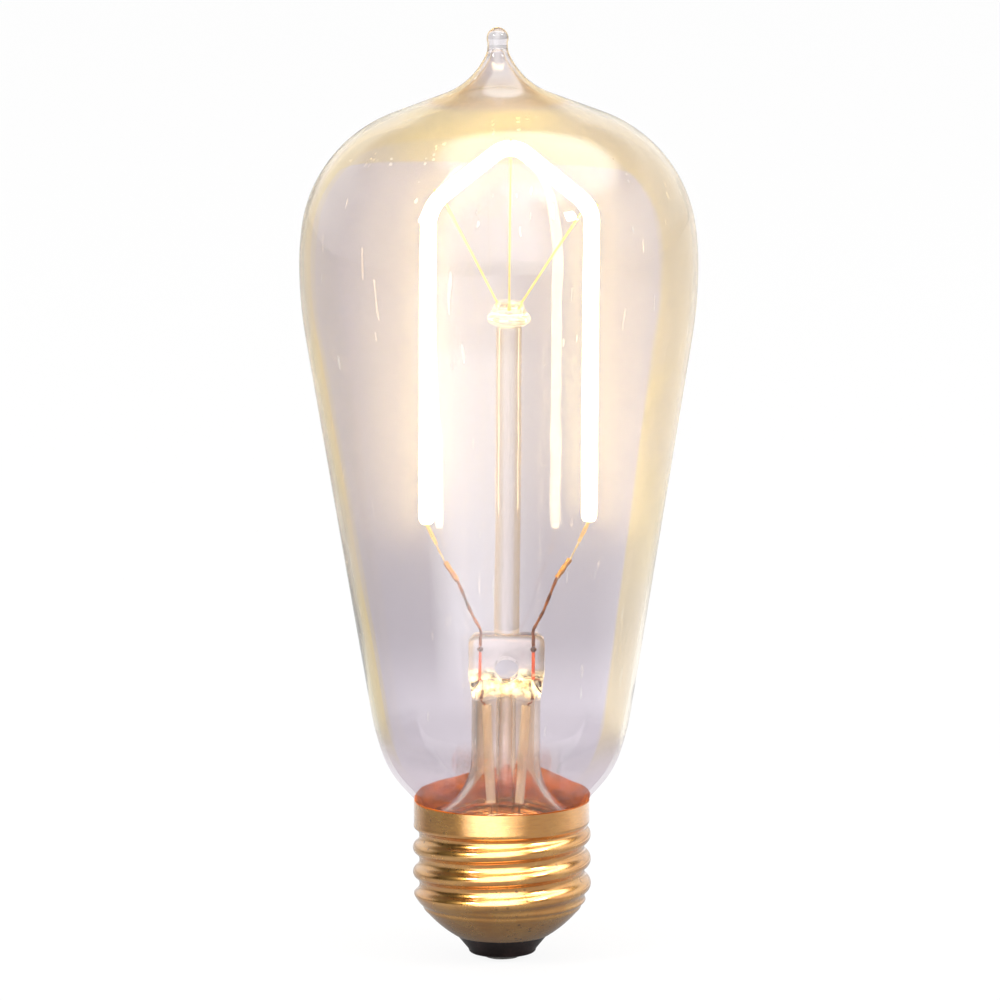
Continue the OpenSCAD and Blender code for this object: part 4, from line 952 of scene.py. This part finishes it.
# Floor, light and camera
studio = {
    "distance": 1.4, "elevation": 9.05, "aim": (0, 0, 67.94), "lens": 345.7, "sensor": 36, "roll": 0.3,
    "fill": 0.72, "horizon": (0.0, 0.14, 0.6, 1.0), "ceiling": 5.0, "ceilingEdge": (0.78, 0.9),
    "ceilingTilt": 0.25, "backTop": 0.12, "backStart": (-0.05, 0.25), "backRise": (0.42, 0.6),
    # what polished faces mirror of the floor: near the lamp, darker as a painted shadow, from a ring
    # round it, and far away
    "floorSize": 8, "nearFloor": 0.5, "nearEdge": (0.005, 0.03), "ringEdge": (0.088, 0.122),
    "farFloor": 0.7, "farEdge": (0.2, 0.28), "floorGlow": 0.9,
    # brightness round the lamp as polished faces mirror it: share of a turn from the left, then level
    "roundRoom": [(0.0, 0.04), (0.128, 0.04), (0.165, 5.0), (0.3, 5.0), (0.345, 0.35), (0.42, 0.4),
                  (0.47, 1.3), (0.62, 1.0), (0.9, 0.9), (0.94, 0.7), (0.97, 0.04), (1.0, 0.04)],
    "roundFloor": [(0.0, 0.14), (0.1, 0.2), (0.16, 4.8), (0.24, 4.8), (0.29, 1.8), (0.34, 0.5),
                   (0.45, 0.6), (0.54, 1.3), (0.75, 1.0), (0.88, 0.6), (0.94, 0.14), (1.0, 0.14)],
    "rampScale": 4,
    # lamps: azimuth, elevation, distance, width, height, power
    "lampAim": (0, 0, 60),
    "lamps": {"keyLeft": (-47, 35, 1.5, 0.24, 0.34, 11), "keyRight": (48, 33, 1.5, 0.16, 0.17, 5),
              "sideRight": (60, 36, 1.5, 0.16, 0.22, 5)},
}


def roundTone(look, vector, stops):
    scale = studio["rampScale"]
    strip = [(place, (level / scale, level / scale, level / scale, 1)) for place, level in stops]
    turn = look.node("ShaderNodeTexGradient", {"gradient_type": "RADIAL"}, {"Vector": vector}, "Fac")
    return look.node("ShaderNodeValToRGB", {"stops": strip}, {0: turn}) * scale


def rayShares(look):  # rays that see the backdrop itself, and mirrored rays
    camera, through = look.rays("Is Camera Ray"), look.rays("Is Transmission Ray")
    return camera.calc("MAXIMUM", camera, through), look.rays("Is Glossy Ray")


bpy.ops.object.select_all(action="DESELECT")
bpy.ops.mesh.primitive_plane_add(size=studio["floorSize"])
floor = bpy.context.object
floor.name = "floor"
floorLook = newLook("paleFloor")
seen, mirrored = rayShares(floorLook)
away = floorLook.node("ShaderNodeVectorMath", {"operation": "LENGTH"}, {0: floorLook.place()}, "Value")
ring = away.fade(*studio["ringEdge"])
# Painted shadow: mirrored rays see the floor darkest at the lamp's foot, lighter out to the ring
near = away.fade(*studio["nearEdge"], 0.3, 1.0) * studio["nearFloor"]
room = roundTone(floorLook, floorLook.place(), studio["roundFloor"])
room = room * away.fade(*studio["farEdge"], 1.0, studio["farFloor"])
level = mirrored * (near * (1 - ring) + room * ring - 1) + 1
shine = floorLook.node("ShaderNodeEmission", inputs={"Color": white, "Strength": level})
paper = floorLook.blend(floorLook.noise(30, 3), tone(250, 250, 250), tone(246, 246, 246))
matt = floorLook.principled(BaseColor=paper, Roughness=0.8)
share = seen.calc("MAXIMUM", seen, mirrored) * studio["floorGlow"]
floor.data.materials.append(floorLook.show(floorLook.mixed(share, matt, shine)))

sky = bpy.data.worlds.new("studio")
bpy.context.scene.world = sky
skyLook = Look(sky)
seen, mirrored = rayShares(skyLook)
direction = skyLook.node("ShaderNodeTexCoord")
across, depth, rise = [skyLook.along(axis, direction) for axis in "XYZ"]
room = roundTone(skyLook, direction, studio["roundRoom"]) * rise.fade(*studio["horizon"])
behind = depth.fade(*studio["backStart"]) * rise.fade(*studio["backRise"])
room = room * (1 - behind * (1 - studio["backTop"]))
high = (rise + across * studio["ceilingTilt"]).fade(*studio["ceilingEdge"])
room = room * (1 - high) + high * studio["ceiling"]
level = mirrored * (room - studio["fill"]) + studio["fill"]
level = seen + level - seen * level
backdrop = skyLook.node("ShaderNodeBackground", inputs={"Color": white, "Strength": level})
skyLook.node("ShaderNodeOutputWorld", inputs={"Surface": backdrop})

lampAim = Vector(studio["lampAim"]) * mm
for name, (azimuth, elevation, distance, width, height, power) in studio["lamps"].items():
    a, e = math.radians(azimuth), math.radians(elevation)
    way = Vector((math.sin(a) * math.cos(e), -math.cos(a) * math.cos(e), math.sin(e)))
    spot = lampAim + way * distance
    bpy.ops.object.light_add(type="AREA", location=spot)
    lamp = bpy.context.object
    lamp.name = lamp.data.name = name
    lamp.data.shape = "RECTANGLE"
    lamp.data.size, lamp.data.size_y = width, height
    lamp.data.energy = power
    lamp.rotation_euler = (lampAim - spot).to_track_quat("-Z", "Y").to_euler()
    lamp.visible_camera = lamp.visible_transmission = False  # unseen, also through glass

tilt = math.radians(studio["elevation"])
aim = Vector(studio["aim"]) * mm
way = Vector((0, -math.cos(tilt), math.sin(tilt)))
bpy.ops.object.camera_add(location=aim + way * studio["distance"])
camera = bpy.context.object
camera.data.sensor_width = studio["sensor"]
camera.data.lens = studio["lens"]
camera.data.clip_start, camera.data.clip_end = 0.05, 50
heading = (aim - camera.location).to_track_quat("-Z", "Y").to_matrix().to_4x4()
roll = Matrix.Rotation(math.radians(-studio["roll"]), 4, "Z")
camera.matrix_world = Matrix.Translation(camera.location) @ heading @ roll

scene = bpy.context.scene
scene.camera = camera
scene.view_settings.view_transform = "Standard"
scene.cycles.max_bounces = 40
scene.cycles.transmission_bounces = 40
scene.cycles.transparent_max_bounces = 40
scene.cycles.glossy_bounces = 12
scene.cycles.use_denoising = True
scene.cycles.denoiser = "OPENIMAGEDENOISE"
print("studio ready")
